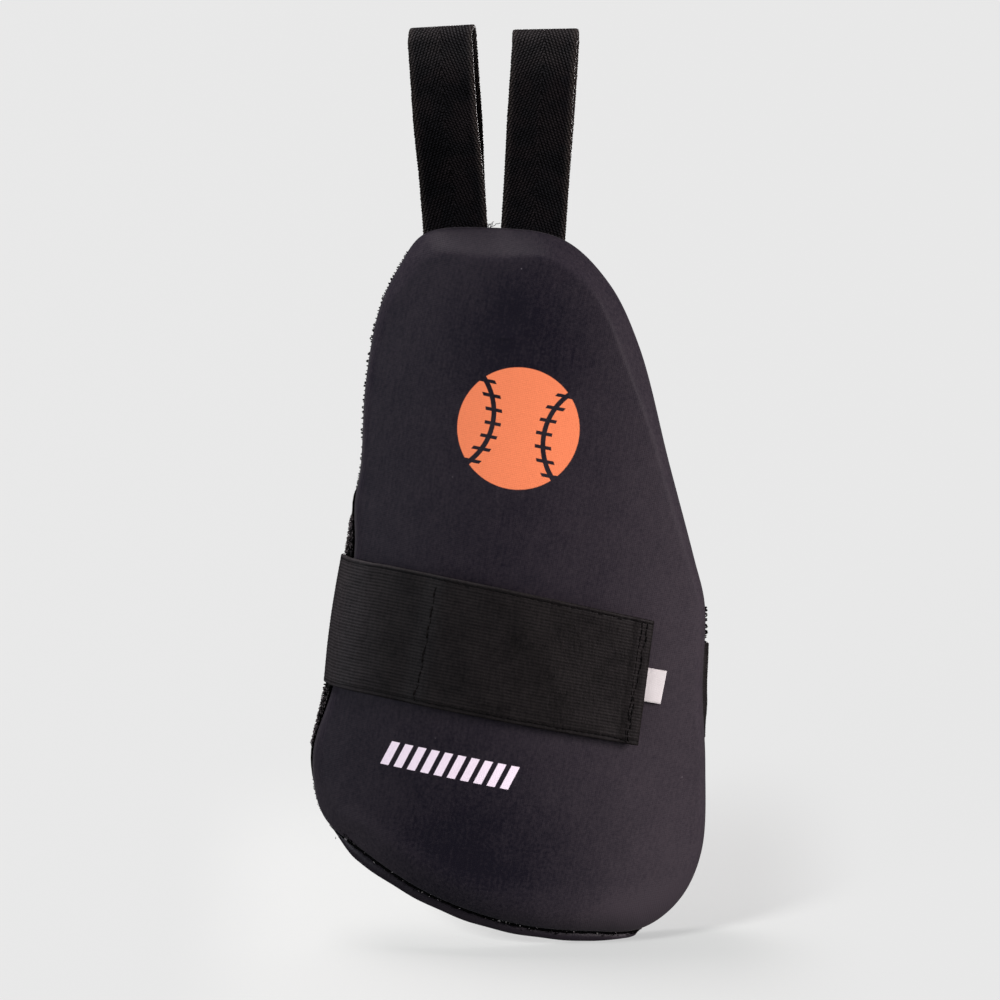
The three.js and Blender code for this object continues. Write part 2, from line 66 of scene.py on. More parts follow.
# %% [markdown]
# ## Camera and light
#
# The picture was taken square to the front from far off, so a camera with a long lens stands a little above
# the middle of the pad. Dark cloth shows its form only where soft light grazes it: a strong lamp at the
# right, a weak cool one at the left, and one above for the bevel. White paper needs other lamps than black
# cloth, and light linking keeps each lamp to its set. The world is only what the camera sees past the
# paper.

# %% Camera
VIEW_CENTRE = Vector((0.0019, 0.010, -0.1771))
FRAME_WIDTH = 0.385
DISTANCE = 5.0
ELEVATION = math.radians(3)

camera = bpy.data.objects.new("camera", bpy.data.cameras.new("camera"))
camera.data.lens = camera.data.sensor_width * DISTANCE / FRAME_WIDTH
camera.location = VIEW_CENTRE + DISTANCE * Vector((0, -math.cos(ELEVATION), math.sin(ELEVATION)))
camera.rotation_euler = (math.pi / 2 - ELEVATION, 0, 0)
bpy.context.scene.collection.objects.link(camera)
bpy.context.scene.camera = camera
bpy.context.scene.view_settings.view_transform = "Standard"
print("lens:", round(camera.data.lens), "mm")


# %% Lights
def soft_light(name, place, size, power, colour, only):
    """A square area light that faces the middle of the pad and lights one set of things."""
    light = bpy.data.lights.new(name, "AREA")
    light.size = size
    light.energy = power
    light.color = colour
    lamp = bpy.data.objects.new(name, light)
    lamp.location = place
    lamp.rotation_euler = (VIEW_CENTRE - Vector(place)).to_track_quat("-Z", "Y").to_euler()
    lamp.light_linking.receiver_collection = only
    lamp.visible_camera = False
    bpy.context.scene.collection.objects.link(lamp)


things = bpy.data.collections.new("things")
stage = bpy.data.collections.new("stage")
ABOVE = (-0.45, 0.10, 1.15)
soft_light("right", (1.36, -0.86, 0.10), 1.0, 51, (1.0, 0.90, 0.93), things)
soft_light("left", (-1.36, -0.78, 0.0), 0.9, 15.5, (0.88, 0.91, 1.0), things)
soft_light("top", ABOVE, 0.8, 39, (1.0, 0.92, 0.95), things)
soft_light("top_floor", ABOVE, 0.8, 23, (1.0, 0.94, 0.96), stage)
soft_light("floor", (-2.0, -2.0, 0.9), 0.7, 112, (1.0, 1.0, 1.0), stage)

world = bpy.data.worlds.new("studio")
world.use_nodes = True
world.node_tree.nodes["Background"].inputs["Color"].default_value = (1, 1, 1, 1)
world.node_tree.nodes["Background"].inputs["Strength"].default_value = 0.80
world.cycles_visibility.diffuse = False
world.cycles_visibility.glossy = False
bpy.context.scene.world = world

# %% [markdown]
# ## Shader maths
#
# A finish is a short sum: so much weave here, a little wear there. A small class wraps a socket, so such a
# sum is plain Python and adds its own Math nodes. One method of a finish adds any other node.


# %% A value in a shader
class Value:
    def __init__(self, finish, socket):
        self.finish = finish
        self.socket = socket

    def math(self, operation, first, second=0.0):
        return self.finish.node("ShaderNodeMath", {"operation": operation}, {0: first, 1: second})

    def __add__(self, other):
        return self.math("ADD", self, other)

    def __sub__(self, other):
        return self.math("SUBTRACT", self, other)

    def __rsub__(self, other):
        return self.math("SUBTRACT", other, self)

    def __mul__(self, other):
        return self.math("MULTIPLY", self, other)

    def __truediv__(self, other):
        return self.math("DIVIDE", self, other)

    __radd__ = __add__
    __rmul__ = __mul__

    def __abs__(self):
        return self.math("ABSOLUTE", self)

    def wave(self, period):
        """From -1 to 1 and back once in each period."""
        return self.math("SINE", self * (2 * math.pi / period))

    def root(self):
        return self.math("SQRT", self)

    def most(self, other):
        return self.math("MAXIMUM", self, other)

    def remainder(self, period):
        return self.math("FLOORED_MODULO", self, period)

    def step(self, low, high):
        """0 below low, 1 above high, and soft between them."""
        return self.finish.node("ShaderNodeMapRange", {"interpolation_type": "SMOOTHSTEP"},
                                {"Value": self, "From Min": low, "From Max": high})


# %% A finish
class Finish:
    """A material with one Principled shader. The constants go straight onto its sockets."""

    def __init__(self, name, **constants):
        self.material = bpy.data.materials.new(name)
        self.material.use_nodes = True
        self.tree = self.material.node_tree
        self.shader = self.tree.nodes["Principled BSDF"]
        for socket, value in constants.items():
            self.shader.inputs[socket.replace("_", " ")].default_value = value

    def put(self, socket, value):
        if isinstance(value, Value):
            self.tree.links.new(value.socket, socket)
        elif socket.type == "RGBA":
            socket.default_value = (*value, 1)
        else:
            socket.default_value = value

    def node(self, kind, settings=None, sockets=None, out=0):
        node = self.tree.nodes.new(kind)
        for name, value in (settings or {}).items():
            setattr(node, name, value)
        for name, value in (sockets or {}).items():
            self.put(node.inputs[name], value)
        return Value(self, node.outputs[out])

    def mix(self, first, second, factor):
        """One colour going over into another."""
        return self.node("ShaderNodeMix", {"data_type": "RGBA"}, {0: factor, 6: first, 7: second}, 2)

    def place(self, kind="Object"):
        """The three coordinates of a point, in millimetres."""
        coordinates = self.node("ShaderNodeTexCoord", out=kind)
        return [self.node("ShaderNodeSeparateXYZ", None, {0: coordinates}, axis) * 1000 for axis in range(3)]

    def noise(self, size, detail=2.0, where=None):
        """Cloudy noise from 0 to 1, with clouds of about this size in millimetres."""
        place = self.node("ShaderNodeCombineXYZ", None, dict(enumerate(where or self.place())))
        return self.node("ShaderNodeTexNoise", None, {"Vector": place, "Scale": 1 / size, "Detail": detail})

    def bump(self, height, depth):
        """Relief of the given depth in millimetres."""
        relief = {"Strength": 1.0, "Distance": depth * MM, "Height": height}
        self.feed("Normal", self.node("ShaderNodeBump", None, relief))

    def feed(self, socket, value):
        self.put(self.shader.inputs[socket], value)


print("shader helpers ready")

# %% [markdown]
# ## Meshes
#
# Each piece is one of three things: rings inside each other, like the pad; a sheet with two faces, like the
# strap; or many short threads, like the pile. They are worked out as arrays of points, because a weave or a
# pile needs thousands.


# %% Making a piece
def smooth(value, low, high):
    share = np.clip((value - low) / (high - low), 0, 1)
    return share * share * (3 - 2 * share)


def unit(vectors):
    return vectors / np.linalg.norm(vectors, axis=-1, keepdims=True)


def travelled(points):
    """How far along a line each of its points is."""
    return np.concatenate([[0], np.cumsum(np.linalg.norm(np.diff(points, axis=0), axis=1))])


def wall_faces(rings):
    """Quads between neighbouring rings of point numbers."""
    low, high = rings[..., :-1, :], rings[..., 1:, :]
    quads = np.stack([low, np.roll(low, -1, -1), np.roll(high, -1, -1), high], -1)
    return quads.reshape(-1, 4).tolist()


def piece(name, points, faces, finish, uv=None, lit_with=things):
    """A smooth-shaded mesh piece from points in millimetres, in the frame of the part."""
    mesh = bpy.data.meshes.new(name)
    mesh.from_pydata((np.asarray(points) * MM).tolist(), [], faces)
    work = bmesh.new()
    work.from_mesh(mesh)
    bmesh.ops.recalc_face_normals(work, faces=work.faces)
    work.to_mesh(mesh)
    work.free()
    mesh.polygons.foreach_set("use_smooth", np.ones(len(mesh.polygons), bool))
    if uv is not None:
        corners = np.zeros(len(mesh.loops), int)
        mesh.loops.foreach_get("vertex_index", corners)
        layer = mesh.uv_layers.new(name="weave")
        layer.data.foreach_set("uv", (np.asarray(uv) * MM)[corners].ravel())
    mesh.materials.append(finish.material)
    made = bpy.data.objects.new(name, mesh)
    bpy.context.scene.collection.objects.link(made)
    lit_with.objects.link(made)
    print(name, len(mesh.vertices), "points,", len(mesh.polygons), "faces")
    return made


# %% [markdown]
# ## The pad's own frame
#
# The pad hangs with a lean of 11 degrees, so its shape is worked out upright: X across the leg, Z along it,
# Y towards the thigh. The table gives its edge, clockwise from the top left: place, width of the moulded
# bevel, thickness at the rim, how far the bevel is a quarter round and not a slope, and how far the
# towelling comes over the rim and stands out from it. A smooth curve through the places is the edge.

# %% Table of the edge
LEAN = math.radians(11)
PLACE = (15, -6, -216.6)
BEND, BOW, BOW_CENTRE = 135, 1100, 60
THICK, GAP, TOWEL = 15, 0.45, 2.4
EDGE = [  # x, z, bevel, rim, round, wrap, roll
    (-68.5, 131.5, 9, 6, 0.4, 0, 0), (-43.5, 139, 11.5, 6, 0, 0, 0), (-16, 140, 8, 6, 0, 0, 0),
    (4.5, 127, 6.2, 6, 0, 0, 0), (20.5, 105.5, 6.6, 6.5, 0.1, 0, 0), (40.5, 63.5, 3.6, 8, 0.95, 0, 0),
    (57.1, 29, 3.2, 9, 1, 0, 0), (64.7, 12, 3, 9, 1, 0, 0), (70.3, -21, 3, 9, 1, 0, 0),
    (77.1, -49.5, 3.2, 9, 1, 0, 0), (82.3, -83.5, 4, 8, 1, 0, 0), (77.6, -103.2, 7, 6, 1, 0, 0),
    (65.2, -116.6, 9, 4.5, 1, 0, 0), (45, -121, 11, 4, 1, 0, 0), (16.5, -123, 12, 4, 1, 0, 0),
    (-18, -118, 12, 4, 1, 0, 0), (-46.5, -106.8, 11, 4.5, 1, 0, 0), (-64, -97, 8, 6, 1, 0, 0),
    (-72.5, -74.5, 4, 8, 1, 1.5, 0.5), (-69.8, -45.5, 3.4, 8, 1, 3, 1.2), (-71.5, 5, 3.4, 8, 1, 3, 1.6),
    (-75.2, 24.8, 3.2, 8, 1, 3, 0.5), (-75.5, 38, 3, 8, 1, 0, 0), (-79.8, 70.5, 2.8, 8, 0.9, 0, 0),
    (-80, 100, 3.2, 7.5, 0.7, 0, 0), (-75.5, 117.5, 6, 7, 0.6, 0, 0),
]
HEM_FIRST, HEM_LAST = 12, 16  # rows of the table, counted from 0
STEPS = 240


def spline(points, count, closed=False):
    """Even steps along a smooth curve through the points, and the row of the points each one is at."""
    p = np.asarray(points, float)
    p = np.vstack([p[-1:], p, p[:2]]) if closed else np.vstack([2 * p[0] - p[1], p, 2 * p[-1] - p[-2]])
    a, b, c, d = p[:-3, None], p[1:-2, None], p[2:-1, None], p[3:, None]
    step = np.sqrt(np.linalg.norm(np.diff(p, axis=0), axis=1))[:, None, None]
    before, here, after = step[:-2], step[1:-1], step[2:]
    leave = c - b + ((b - a) / before - (c - a) / (before + here)) * here
    arrive = c - b + ((d - c) / after - (d - b) / (here + after)) * here
    t = np.linspace(0, 1, 32, endpoint=False)[None, :, None]
    dense = ((2 * t - 3) * t * t + 1) * b + ((t - 2) * t + 1) * t * leave
    dense = dense + (3 - 2 * t) * t * t * c + (t - 1) * t * t * arrive
    dense = np.vstack([dense.reshape(-1, p.shape[1]), p[-2]])
    length = travelled(dense)
    wanted = np.linspace(0, length[-1], count, endpoint=not closed)
    places = np.stack([np.interp(wanted, length, column) for column in dense.T], 1)
    return places, np.interp(wanted, length, np.arange(len(dense)) / 32)


rows = np.array(EDGE, float)
edge, at_row = spline(rows[:, :2], STEPS, closed=True)
blend = smooth(at_row % 1, 0, 1)[:, None]
first = at_row.astype(int) % len(EDGE)
blended = (1 - blend) * rows[first] + blend * rows[(first + 1) % len(EDGE)]
bevel, rim, rounded, wrap, roll = blended[:, 2:].T
run = unit(np.roll(edge, -1, 0) - np.roll(edge, 1, 0))
inward = np.stack([run[:, 1], -run[:, 0]], 1)
edge_length = travelled(edge)
print("edge", round(edge_length[-1]), "mm round")


# %% Surfaces of the pad
def part_frame(points):
    """From the pad's own frame into the frame of the part."""
    x, y, z = np.moveaxis(np.asarray(points, float), -1, 0)
    right, down = math.cos(LEAN), math.sin(LEAN)
    return np.stack([PLACE[0] + x * right + z * down, PLACE[1] + y, PLACE[2] - x * down + z * right], -1)


def own_frame(x, z):
    """Across and along the pad, for a point seen from the front of the part. It takes shader values too."""
    dx, dz = x - PLACE[0], z - PLACE[2]
    return dx * math.cos(LEAN) - dz * math.sin(LEAN), dx * math.sin(LEAN) + dz * math.cos(LEAN)


def inner_face(x, z):
    """The side towards the thigh: bent round the leg, and bowed a little along it."""
    return BEND - np.sqrt(BEND**2 - x**2) + (z - BOW_CENTRE) ** 2 / (2 * BOW)


SOFT = 0.14


def bevel_rise(share, turned):
    """From 0 at the edge to 1 on the plateau: a slope with a soft upper corner, or a quarter round."""
    corner = np.clip(share, 1 - SOFT, 1 + SOFT) - (1 - SOFT)
    slope = np.minimum(share, 1 + SOFT) - corner**2 / (4 * SOFT)
    return slope + (np.sqrt(1 - (1 - np.minimum(share, 1)) ** 2) - slope) * turned


def thickness(share, at=slice(None)):
    return rim[at] + (THICK - rim[at]) * bevel_rise(share, rounded[at])


def front_face(x, z):
    """The cover's front anywhere inside the edge."""
    x, z = np.broadcast_arrays(np.asarray(x, float), np.asarray(z, float))
    apart = np.hypot(edge[:, 0] - x[..., None], edge[:, 1] - z[..., None])
    nearest = apart.argmin(-1)
    return inner_face(x, z) - thickness(apart.min(-1) / bevel[nearest], nearest)


print("front in the middle of the pad at y =", round(float(front_face(0, 0)), 1), "mm")

# %% [markdown]
# ## The cover
#
# Foam is moulded to a plateau with a bevel round it, and a fine knit is stretched over it. Painted light
# makes the knit paler towards the right and the hem, and painted shade makes it darker in two broad places.
# A plain ball and a row of slanted bars are printed on it. They are distances in the finish, which stay
# sharp on a coarse mesh.

# %% Prints
BALL_X, BALL_Z, BALL_RADIUS = -19, 66, 23.4
SEAM_APART, SEAM_RADIUS, TICK_PITCH = 34, 24, 5.2
BARS_X, BARS_Z, BARS_HALF, BAR_PITCH, BAR_COUNT, BAR_SLANT = -46, -66.5, 4.7, 5.2, 10, 0.3


def from_centre(x, z):
    return (x * x + z * z).root()


def printed_ball(across, along):
    """1 where the ball has ink. Its two seams and their stitches are left free."""
    x, z = across - BALL_X, along - BALL_Z
    ball = 1 - from_centre(x, z).step(BALL_RADIUS - 0.2, BALL_RADIUS + 0.2)
    from_seam = abs(from_centre(abs(x) - SEAM_APART, z) - SEAM_RADIUS)
    seam = 1 - from_seam.step(0.8, 1.1)
    from_tick = abs((z + TICK_PITCH / 2).remainder(TICK_PITCH) - TICK_PITCH / 2)
    tick = (1 - from_tick.step(0.55, 0.8)) * (1 - from_seam.step(3.0, 3.3))
    return ball * (1 - seam.most(tick))


def printed_bars(across, along):
    """1 where the slanted bars have ink."""
    x, z = across - BARS_X, along - BARS_Z
    leaning = x - z * BAR_SLANT
    bars = 1 - abs(leaning.remainder(BAR_PITCH) - BAR_PITCH / 2).step(1.45, 1.7)
    bars = bars * (1 - abs(z).step(BARS_HALF - 0.1, BARS_HALF + 0.1))
    end = BAR_PITCH * BAR_COUNT
    return bars * leaning.step(-0.1, 0.1) * (1 - leaning.step(end - 0.1, end + 0.1))


# %% The knit
def knit_tone_and_painted_light(knit, across, along, grain):
    """How pale the knit is, from 0 to 1: random tone, with painted light to the right and along the hem, and
    painted shade near the top and low in the middle.
    """
    cloud = knit.noise(14, 3)
    _, depth, _ = knit.place()
    streak = knit.noise(0.9, 2, (across, along * 0.12, depth))
    # Painted light: paler to the right, where the right lamp falls.
    tone = across.step(-30, 85) * 0.55 + (cloud - 0.5) * 0.35 + (grain - 0.5) * 0.9
    tone = tone + (streak - 0.5) * 0.5 + 0.36
    # Painted shade low in the middle and near the top of the plateau, which faces away from the lamps.
    painted_shade_low_middle = (1 - along.step(-110, -45)) * (1 - abs(across - 5).step(15, 60))
    painted_shade_near_top = 1 - from_centre(across + 26, along - 98).step(8, 38)
    # Painted light in a band along the hem.
    from_hem = along + 123 - (across - 16) * (across - 16) / 246
    return tone - painted_shade_low_middle * 0.46 - painted_shade_near_top * 0.34 + (1 - from_hem.step(4, 20)) * 0.35


def cover_finish():
    knit = Finish("stretch_knit", Roughness=0.5, Specular_IOR_Level=0.05,
                  Sheen_Weight=0.03, Sheen_Roughness=0.3)
    x, _, z = knit.place()
    across, along = own_frame(x, z)
    grain = knit.noise(1.1, 4)
    wales = abs(across.wave(1.5)) * 0.6 + along.wave(0.7) * 0.25
    tone = knit_tone_and_painted_light(knit, across, along, grain)
    cloth = knit.mix((0.0064, 0.0056, 0.0096), (0.0292, 0.0244, 0.0294), tone)
    coordinates = knit.node("ShaderNodeTexCoord", out="Object")
    specks = knit.node("ShaderNodeTexVoronoi", None, {"Vector": coordinates, "Scale": 130})
    lint = (1 - specks.step(0.02, 0.06)) * knit.noise(11).step(0.56, 0.64)
    cloth = knit.mix(cloth, (0.16, 0.15, 0.16), lint * 0.5)
    ink = 0.9 + grain * 0.1
    cloth = knit.mix(cloth, (0.745, 0.207, 0.089), printed_ball(across, along) * ink)
    cloth = knit.mix(cloth, (0.80, 0.71, 0.79), printed_bars(across, along) * ink)
    knit.feed("Base Color", cloth)
    knit.feed("Roughness", 0.46 + grain * 0.12)
    knit.bump(wales * 0.35 + grain * 0.6, 0.12)
    return knit


knit = cover_finish()
print("knit made of", len(knit.tree.nodes), "nodes")

# %% [markdown]
# ## The foam under it
#
# Rings follow the edge, so the bevel and the rim keep their lines: over the plateau, down the bevel, round
# the rim and over the inner face, which has pockets for the sewn ends. Each ring notes its share of the
# bevel, to tell the front from the back. Rungs from side to side fill both ends.

# %% Rings
SPINE_TOP = np.array([-28.0, 92.0])
SPINE_FOOT = np.array([6.0, -68.0])
RUNGS = 8
crown = int(np.argmax(edge @ (SPINE_TOP - SPINE_FOOT)))


def inset(distance):
    return edge + inward * np.broadcast_to(distance, STEPS)[:, None]


def to_spine(places, share):
    """Places drawn towards the line along the middle of the pad."""
    axis = SPINE_FOOT - SPINE_TOP
    along = np.clip((places - SPINE_TOP) @ axis / (axis @ axis), 0, 1)
    return places + (SPINE_TOP + along[:, None] * axis - places) * share


def lifted(places, depth):
    """Places on the inner face, moved towards the thigh by the depth."""
    x, z = places.T
    return np.stack([x, inner_face(x, z) + depth, z], 1)


def ring_body(rings):
    """Points and faces of a body of rings, with rungs across its first and its last ring."""
    points = list(rings)
    numbers = np.arange(len(rings) * STEPS).reshape(-1, STEPS)
    faces = wall_faces(numbers)
    half = STEPS // 2
    share = np.linspace(0, 1, RUNGS + 1)[1:-1, None]
    for ring in (numbers[0], numbers[-1]):
        right, left = (ring[(crown + np.arange(half + 1) * way) % STEPS] for way in (1, -1))
        flat = np.concatenate(points)
        inside = flat[right][1:-1, None] + (flat[left] - flat[right])[1:-1, None] * share
        grid = np.repeat(right[:, None], RUNGS + 1, 1)
        grid[:, -1] = left
        grid[1:-1, 1:-1] = len(flat) + np.arange(inside.size // 3).reshape(inside.shape[:2])
        points.append(inside.reshape(-1, 3))
        for k in range(half):
            for m in range(RUNGS):
                face = [grid[k, m], grid[k, m + 1], grid[k + 1, m + 1], grid[k + 1, m]]
                faces.append([int(v) for i, v in enumerate(face) if v not in face[:i]])
    return np.concatenate(points), faces


# %% Rings of the cover
STRAP_Z, STRAP_END = -21, 47.7
LOOP_SEAMS, SEAM_Z, WEBBING_HALF = (-15.2, 14.6), -74, 12.5
CORNER, PLATEAU, TUCKED_IN = 0.8, 1.3, 15


def pocket(x, z):
    """How far the foam is hollowed for the sewn ends of the loops and the strap."""
    place = part_frame(np.stack([x, x * 0, z], -1))
    from_loop = np.min([abs(place[..., 0] - seam) for seam in LOOP_SEAMS], axis=0)
    for_loops = 1 - smooth(from_loop, WEBBING_HALF + 2, WEBBING_HALF + 4)
    for_loops = for_loops * smooth(place[..., 2], SEAM_Z - 16, SEAM_Z - 13)
    for_strap = smooth(x, 45, 52) * (1 - smooth(abs(z - STRAP_Z), 20, 23))
    return np.maximum(for_loops * 4.2, for_strap * 3.2)


rings = []
shares = []


def add_ring(points, share=0.0):
    rings.append(points)
    shares.append(np.broadcast_to(share, STEPS))


for share in (0.8, 0.64, 0.48, 0.33, 0.2, 0.09):
    add_ring(lifted(to_spine(inset(bevel * PLATEAU), share), -THICK), PLATEAU + share)
for share in (1, 0.86, 0.72, 0.58, 0.44, 0.22, 0):
    distance = CORNER + (PLATEAU * bevel - CORNER) * share
    add_ring(lifted(inset(distance), -thickness(distance / bevel)), distance / bevel)
for t in (0.25, 0.5, 0.75, 1):
    depth = (1 - t) ** 2 * thickness(CORNER / bevel) + 2 * t * (1 - t) * rim + t * t * rim * 0.45
    add_ring(lifted(inset((1 - t) ** 2 * CORNER), -depth))
for distance, share in ((0.15, 0.2), (0.9, 0), (4, 0), (9, 0), (TUCKED_IN, 0)):
    places = inset(distance)
    add_ring(lifted(places, -np.maximum(pocket(*places.T), rim * share)))
for share in (0.25, 0.5, 0.8):
    add_ring(lifted(to_spine(inset(TUCKED_IN), share), 0))
own_points, cover_faces = ring_body(rings)
print(len(rings), "rings of", STEPS, "points")

# %% [markdown]
# ## A cover that isn't quite even
#
# A sewn cover is never quite even. The front gets a slow unevenness, puckers where the hem's thread pulls
# the knit in, a tuck at the hem's left end, and a shallow bed under the strap.

# %% Small unevenness in the cover
late = slice(len(rings) * STEPS, None)
fill = len(own_points[late]) // 2
share_at = np.concatenate([*shares, np.full(fill, 2.1), np.zeros(fill)])
on_front = share_at > 0
x, z = own_points[:, 0], own_points[:, 2]
own_points[late, 1] = (inner_face(x, z) - np.where(on_front, THICK, 0))[late]

beside_strap = smooth(abs(z - STRAP_Z), 24, 29) + smooth(x, STRAP_END - 1, STRAP_END + 6)
under_strap = on_front * (1 - np.clip(beside_strap, 0, 1))
apart = np.hypot(edge[:, 0] - x[:, None], edge[:, 1] - z[:, None])
row_near = at_row[apart.argmin(1)]
in_hem = smooth(row_near, HEM_FIRST - 0.4, HEM_FIRST + 0.2)
in_hem = in_hem * (1 - smooth(row_near, HEM_LAST - 0.1, HEM_LAST + 0.5))
along_hem = edge_length[apart.argmin(1)]
pull = np.sin(along_hem / 1.35) + 0.7 * np.sin(along_hem / 2.3 + 1)

uneven = 0.22 * np.sin(x / 17 + z / 29) + 0.18 * np.sin(z / 13 - x / 31 + 2)
uneven = uneven * smooth(share_at, 0.6, 1.4) * (1 - under_strap)
puckers = 0.22 * pull * in_hem * np.exp(-((apart.min(1) - 3) / 3.5) ** 2) * on_front
tuck = 2.4 * np.exp(-((x + 54) / 4) ** 2 - ((z + 101.5) / 2.2) ** 2) * on_front
own_points[:, 1] += uneven + puckers + tuck + 0.3 * under_strap
cover = piece("pad_cover", part_frame(own_points), cover_faces, knit)

# %% [markdown]
# ## Let the foam swell
#
# The foam presses against its tight cover. The Cloth modifier gives that: pressure from inside, with the
# rim, most of the bevel, the back and the part under the strap held. The foam is stiff, so a cap keeps the
# swelling to a millimetre and a half.


# %% Cloth under pressure
def swell(made, held, pressure, most):
    """Cloth under pressure, with the result on the mesh and no point moved further than most, in mm."""
    group = made.vertex_groups.new(name="held")
    for i, weight in enumerate(held):
        group.add([i], float(weight), "REPLACE")
    before = np.array([v.co for v in made.data.vertices])
    cloth = made.modifiers.new("swell", "CLOTH")
    cloth.settings.use_pressure = True
    cloth.settings.uniform_pressure_force = pressure
    cloth.settings.effector_weights.gravity = 0
    cloth.settings.vertex_group_mass = "held"
    cloth.settings.tension_stiffness = 20
    cloth.settings.compression_stiffness = 20
    cloth.settings.bending_stiffness = 2
    cloth.collision_settings.use_collision = False
    cloth.point_cache.frame_start = 1
    cloth.point_cache.frame_end = 20
    for step in range(1, 21):
        bpy.context.scene.frame_set(step)
    swollen = made.evaluated_get(bpy.context.evaluated_depsgraph_get()).to_mesh()
    moved = np.array([v.co for v in swollen.vertices]) - before
    made.modifiers.remove(cloth)
    bpy.context.scene.frame_set(1)
    far = np.linalg.norm(moved, axis=1)
    after = before + moved * min(1, most * MM / max(far.max(), 1e-9))
    made.data.vertices.foreach_set("co", after.ravel())
    made.data.update()
    print(made.name, "swelled by", round(far.max() * 1000, 2), "mm, kept to", most)


held = np.where(on_front, np.maximum(1 - smooth(share_at, 0.95, 2.0), under_strap), 1)
swell(cover, held, 4, 1.5)
soft = cover.modifiers.new("soft", "SUBSURF")
soft.levels = 1
soft.render_levels = 1

# %% [markdown]
# ## The rolled hem
#
# A rolled seam closes the cover along its lower edge. It is a soft cord of folded knit, so a round section
# is swept along the edge and its size wavers. It starts thin at the right and runs out slowly at the left.

# %% Hem
HEM_SIDES = 16
hem_knit = Finish("hem_knit", Roughness=0.5, Specular_IOR_Level=0.2, Sheen_Weight=0.03, Sheen_Roughness=0.35)
folds = hem_knit.noise(7, 2)
hem_grain = hem_knit.noise(0.9, 3)
hem_tone = folds * 0.7 + hem_grain * 0.4 - 0.1
hem_knit.feed("Base Color", hem_knit.mix((0.0085, 0.0066, 0.0110), (0.0185, 0.0140, 0.0180), hem_tone))
hem_knit.bump(folds * 1.5 + hem_grain * 0.5, 0.3)


def along_edge(values, at):
    """What is known at each step of the edge, at places between the steps."""
    return np.apply_along_axis(lambda column: np.interp(at, np.arange(STEPS), column), 0, values)


in_run = np.flatnonzero((at_row > HEM_FIRST - 0.15) & (at_row < HEM_LAST + 0.85))
hem_steps = 5 * len(in_run)
hem_at = np.linspace(in_run[0], in_run[-1], hem_steps)
hem_edge = along_edge(edge, hem_at)
hem_in = along_edge(inward, hem_at)
from_right = along_edge(edge_length, hem_at) - edge_length[in_run[0]]
from_left = from_right[-1] - from_right
waver_at = from_right + edge_length[in_run[0]]

size = 0.92 + 0.18 * from_right / from_right[-1]
size = size * (0.15 + 0.85 * smooth(from_right, 0, 6)) * (0.1 + 0.9 * smooth(from_left, 0, 16))
size = size * (1 + 0.025 * np.sin(waver_at / 3.1) + 0.03 * np.sin(waver_at / 7.3 + 2))
turn = 2 * np.pi * np.arange(HEM_SIDES) / HEM_SIDES
out = size[:, None] * (2.15 - 2.3 * np.cos(turn)) - 0.2
deep = -0.7 * size[:, None] - 2.2 * size[:, None] * np.sin(turn) * (1 - 0.12 * np.cos(turn))
places = (hem_edge[:, None] - hem_in[:, None] * out[..., None]).reshape(-1, 2)
numbers = np.arange(hem_steps * HEM_SIDES).reshape(hem_steps, HEM_SIDES)
hem_faces = wall_faces(numbers) + [numbers[0].tolist(), numbers[-1].tolist()]
hem = piece("rolled_hem", part_frame(lifted(places, deep.ravel())), hem_faces, hem_knit)

# %% [markdown]
# ## The towelling back
#
# The side towards the skin is black towelling, a cloth with a pile of small loops. Above and below the
# strap it comes round the left rim as a fuller lip. Elsewhere it ends flush. The cloth is a body of rings
# like the cover.

# %% Towelling cloth
FLUSH = -1.7
terry = Finish("terry", Roughness=0.9, Specular_IOR_Level=0.0)
tufts = terry.noise(1.3, 4)
terry_tone = tufts.step(0.35, 0.8)
terry.feed("Base Color", terry.mix((0.0020, 0.0019, 0.0020), (0.0260, 0.0245, 0.0245), terry_tone))
terry.bump(tufts, 0.9)

whole = np.min([np.roll(roll, k) for k in (-2, -1, 0, 1, 2)], axis=0) >= 0.49
side = FLUSH + (GAP - FLUSH) * np.minimum(roll / 0.5, 1)
above = (edge[:, 1] > 2) * np.clip(4.3 - 0.16 * edge[:, 1], 0, 3.2)
below = (edge[:, 1] < -40) * np.clip(8.2 + 0.11 * edge[:, 1], 0, 3.0)
fuller = (above + below) * (edge[:, 0] < 0)
outer = np.maximum(side + np.maximum(roll * 0.75, GAP), np.where(whole, fuller, -9))
front = GAP - np.where(whole, wrap, 0.05)

towel_rings = [lifted(to_spine(inset(3), share), GAP) for share in (0.8, 0.5, 0.2)]
for out, depth in ((-3, GAP), (side, GAP), (side, front), ((side + outer) / 2, front - 0.15),
                   (outer, front + 0.35), (outer, GAP + TOWEL / 2), (outer - 0.9, GAP + TOWEL)):
    towel_rings.append(lifted(inset(-np.asarray(out)), depth))
for share in (0, 0.12, 0.26, 0.4, 0.6, 0.8):
    towel_rings.append(lifted(to_spine(inset(4), share), GAP + TOWEL))
towel_points, towel_faces = ring_body(towel_rings)
late = slice(len(towel_rings) * STEPS, None)
backing = (towel_points[:, 1] - inner_face(towel_points[:, 0], towel_points[:, 2]))[late]
towel_points[late, 1] += np.where(backing > 2, GAP + TOWEL, GAP) - backing
towel = piece("towel_back", part_frame(towel_points), towel_faces, terry)

# %% [markdown]
# ## The pile
#
# The pile is real loops of yarn, three-sided threads to keep the count down, on a jittered grid of
# triangles. A particle system could spread them too, but it would leave the edge, which shows against the
# pale paper, to chance.


